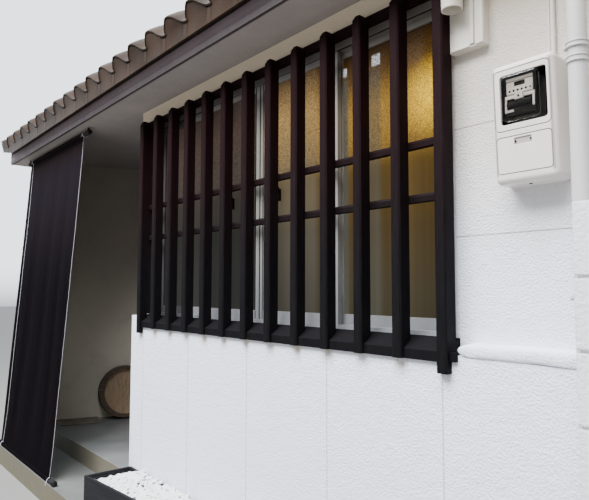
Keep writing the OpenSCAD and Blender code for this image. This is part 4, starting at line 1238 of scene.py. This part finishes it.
def foot_slab():
    """The slab along the porch wall, with wear and a broken, uneven rim."""
    low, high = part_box("foot_stone")
    plan = [(0, 0.122), (0.074, 0.14), (0.277, 0.186), (0.272, 0.45), (0.248, 0.592),
            (0.12, 0.612), (0, 0.566)]
    rim = [(x0 + (x1 - x0) * j / 8, y0 + (y1 - y0) * j / 8)
           for (x0, y0), (x1, y1) in zip(plan, plan[1:] + plan[:1]) for j in range(8)]
    middle_x, middle_y = (sum(values) / len(rim) for values in zip(*rim))
    rows = []
    for inset, up in ((0.004, 0.0), (0.0, 0.25), (0.001, 0.75), (0.006, 1.0), (0.06, 0.97),
                      (0.13, 1.0)):
        row = []
        for x, y in rim:
            dx, dy = middle_x - x, middle_y - y
            pull = min(1.0, inset / max(0.01, hypot(dx, dy)))
            rough = 0.003 * ripple(x * 40, y * 40, up * 3) if x > 0.01 else 0.0
            dip = 0.002 * abs(ripple(x * 30, y * 30, 1))
            row.append(PORCH_PLACE @ Vector((max(x + dx * pull - abs(rough), 0.0005), y + dy * pull,
                                             low.z + (high.z - low.z - dip) * up)))
        rows.append(row)
    maker = Maker()
    maker.solid(rows)
    maker.make("worn_slab", "foot_stone", 35, "foot_stone")


# Stage


def make_floor():
    half = 60.0
    mesh = new_mesh("floor", [(-half, -half, 0), (half, -half, 0), (half, half, 0),
                              (-half, half, 0)], [(0, 1, 2, 3)])
    s = Shader("floor")
    s.set(Base_Color=(0.21, 0.205, 0.195), Roughness=0.9)
    mesh.materials.append(s.material)
    put("floor", mesh)


def add_key_light():
    """One large soft lamp above the street."""
    data = bpy.data.lights.new("key", "AREA")
    data.shape, data.size, data.size_y = "RECTANGLE", 9, 5
    data.energy, data.color = 3900, (0.96, 0.975, 1.0)
    at, towards = Vector((1.2, -4.6, 9.2)), Vector((0.6, 0.0, 1.4))
    light = put("key", data)
    light.location = at
    light.rotation_euler = (towards - at).to_track_quat("-Z", "Y").to_euler()


def light_sky():
    """A dim street, and a bright sky overhead and behind the house."""
    world = bpy.data.worlds.new("studio")
    world.use_nodes = True
    sky = NodeGraph(world.node_tree, "Generated")
    up = sky.axis("Z")
    behind = sky.plus(sky.times(sky.axis("X"), -0.8), sky.times(sky.axis("Y"), 0.6))
    glow = sky.times((behind, 0.3, 0.85), (up, -0.06, 0.04))
    strength = sky.layers(sky.ramp(sky.share(up, -0.2, 1.0), (0.0, 0.1), (0.17, 0.14),
                                   (0.4, 0.27), (0.7, 0.62), (1.0, 0.8)),
                          ((1.0, 1.0, 1.0), glow))
    background = world.node_tree.nodes["Background"]
    background.inputs["Color"].default_value = (0.88, 0.94, 1.0, 1)
    sky.feed(background.inputs["Strength"], sky.times(strength, 2.7))
    bpy.context.scene.world = world


materials = make_materials()
dress_nodes()
scored_front_wall()
scored_porch_wall()
trowelled_ledge()
for build in (roof_tiles, eaves_tiles):
    build("front")
    build("back")
verge_tiles()
ridge()
curtain()
curtain_cords()
rod_ties()
lattice_rails()
window_fittings()
meter_shell()
meter_works()
meter_cover()
board_fittings()
pipe_fittings()
pebble_bed()
heaped_pebbles()
planter_batten()
tub()
foot_slab()
make_floor()
light_sky()
add_key_light()
place_camera()
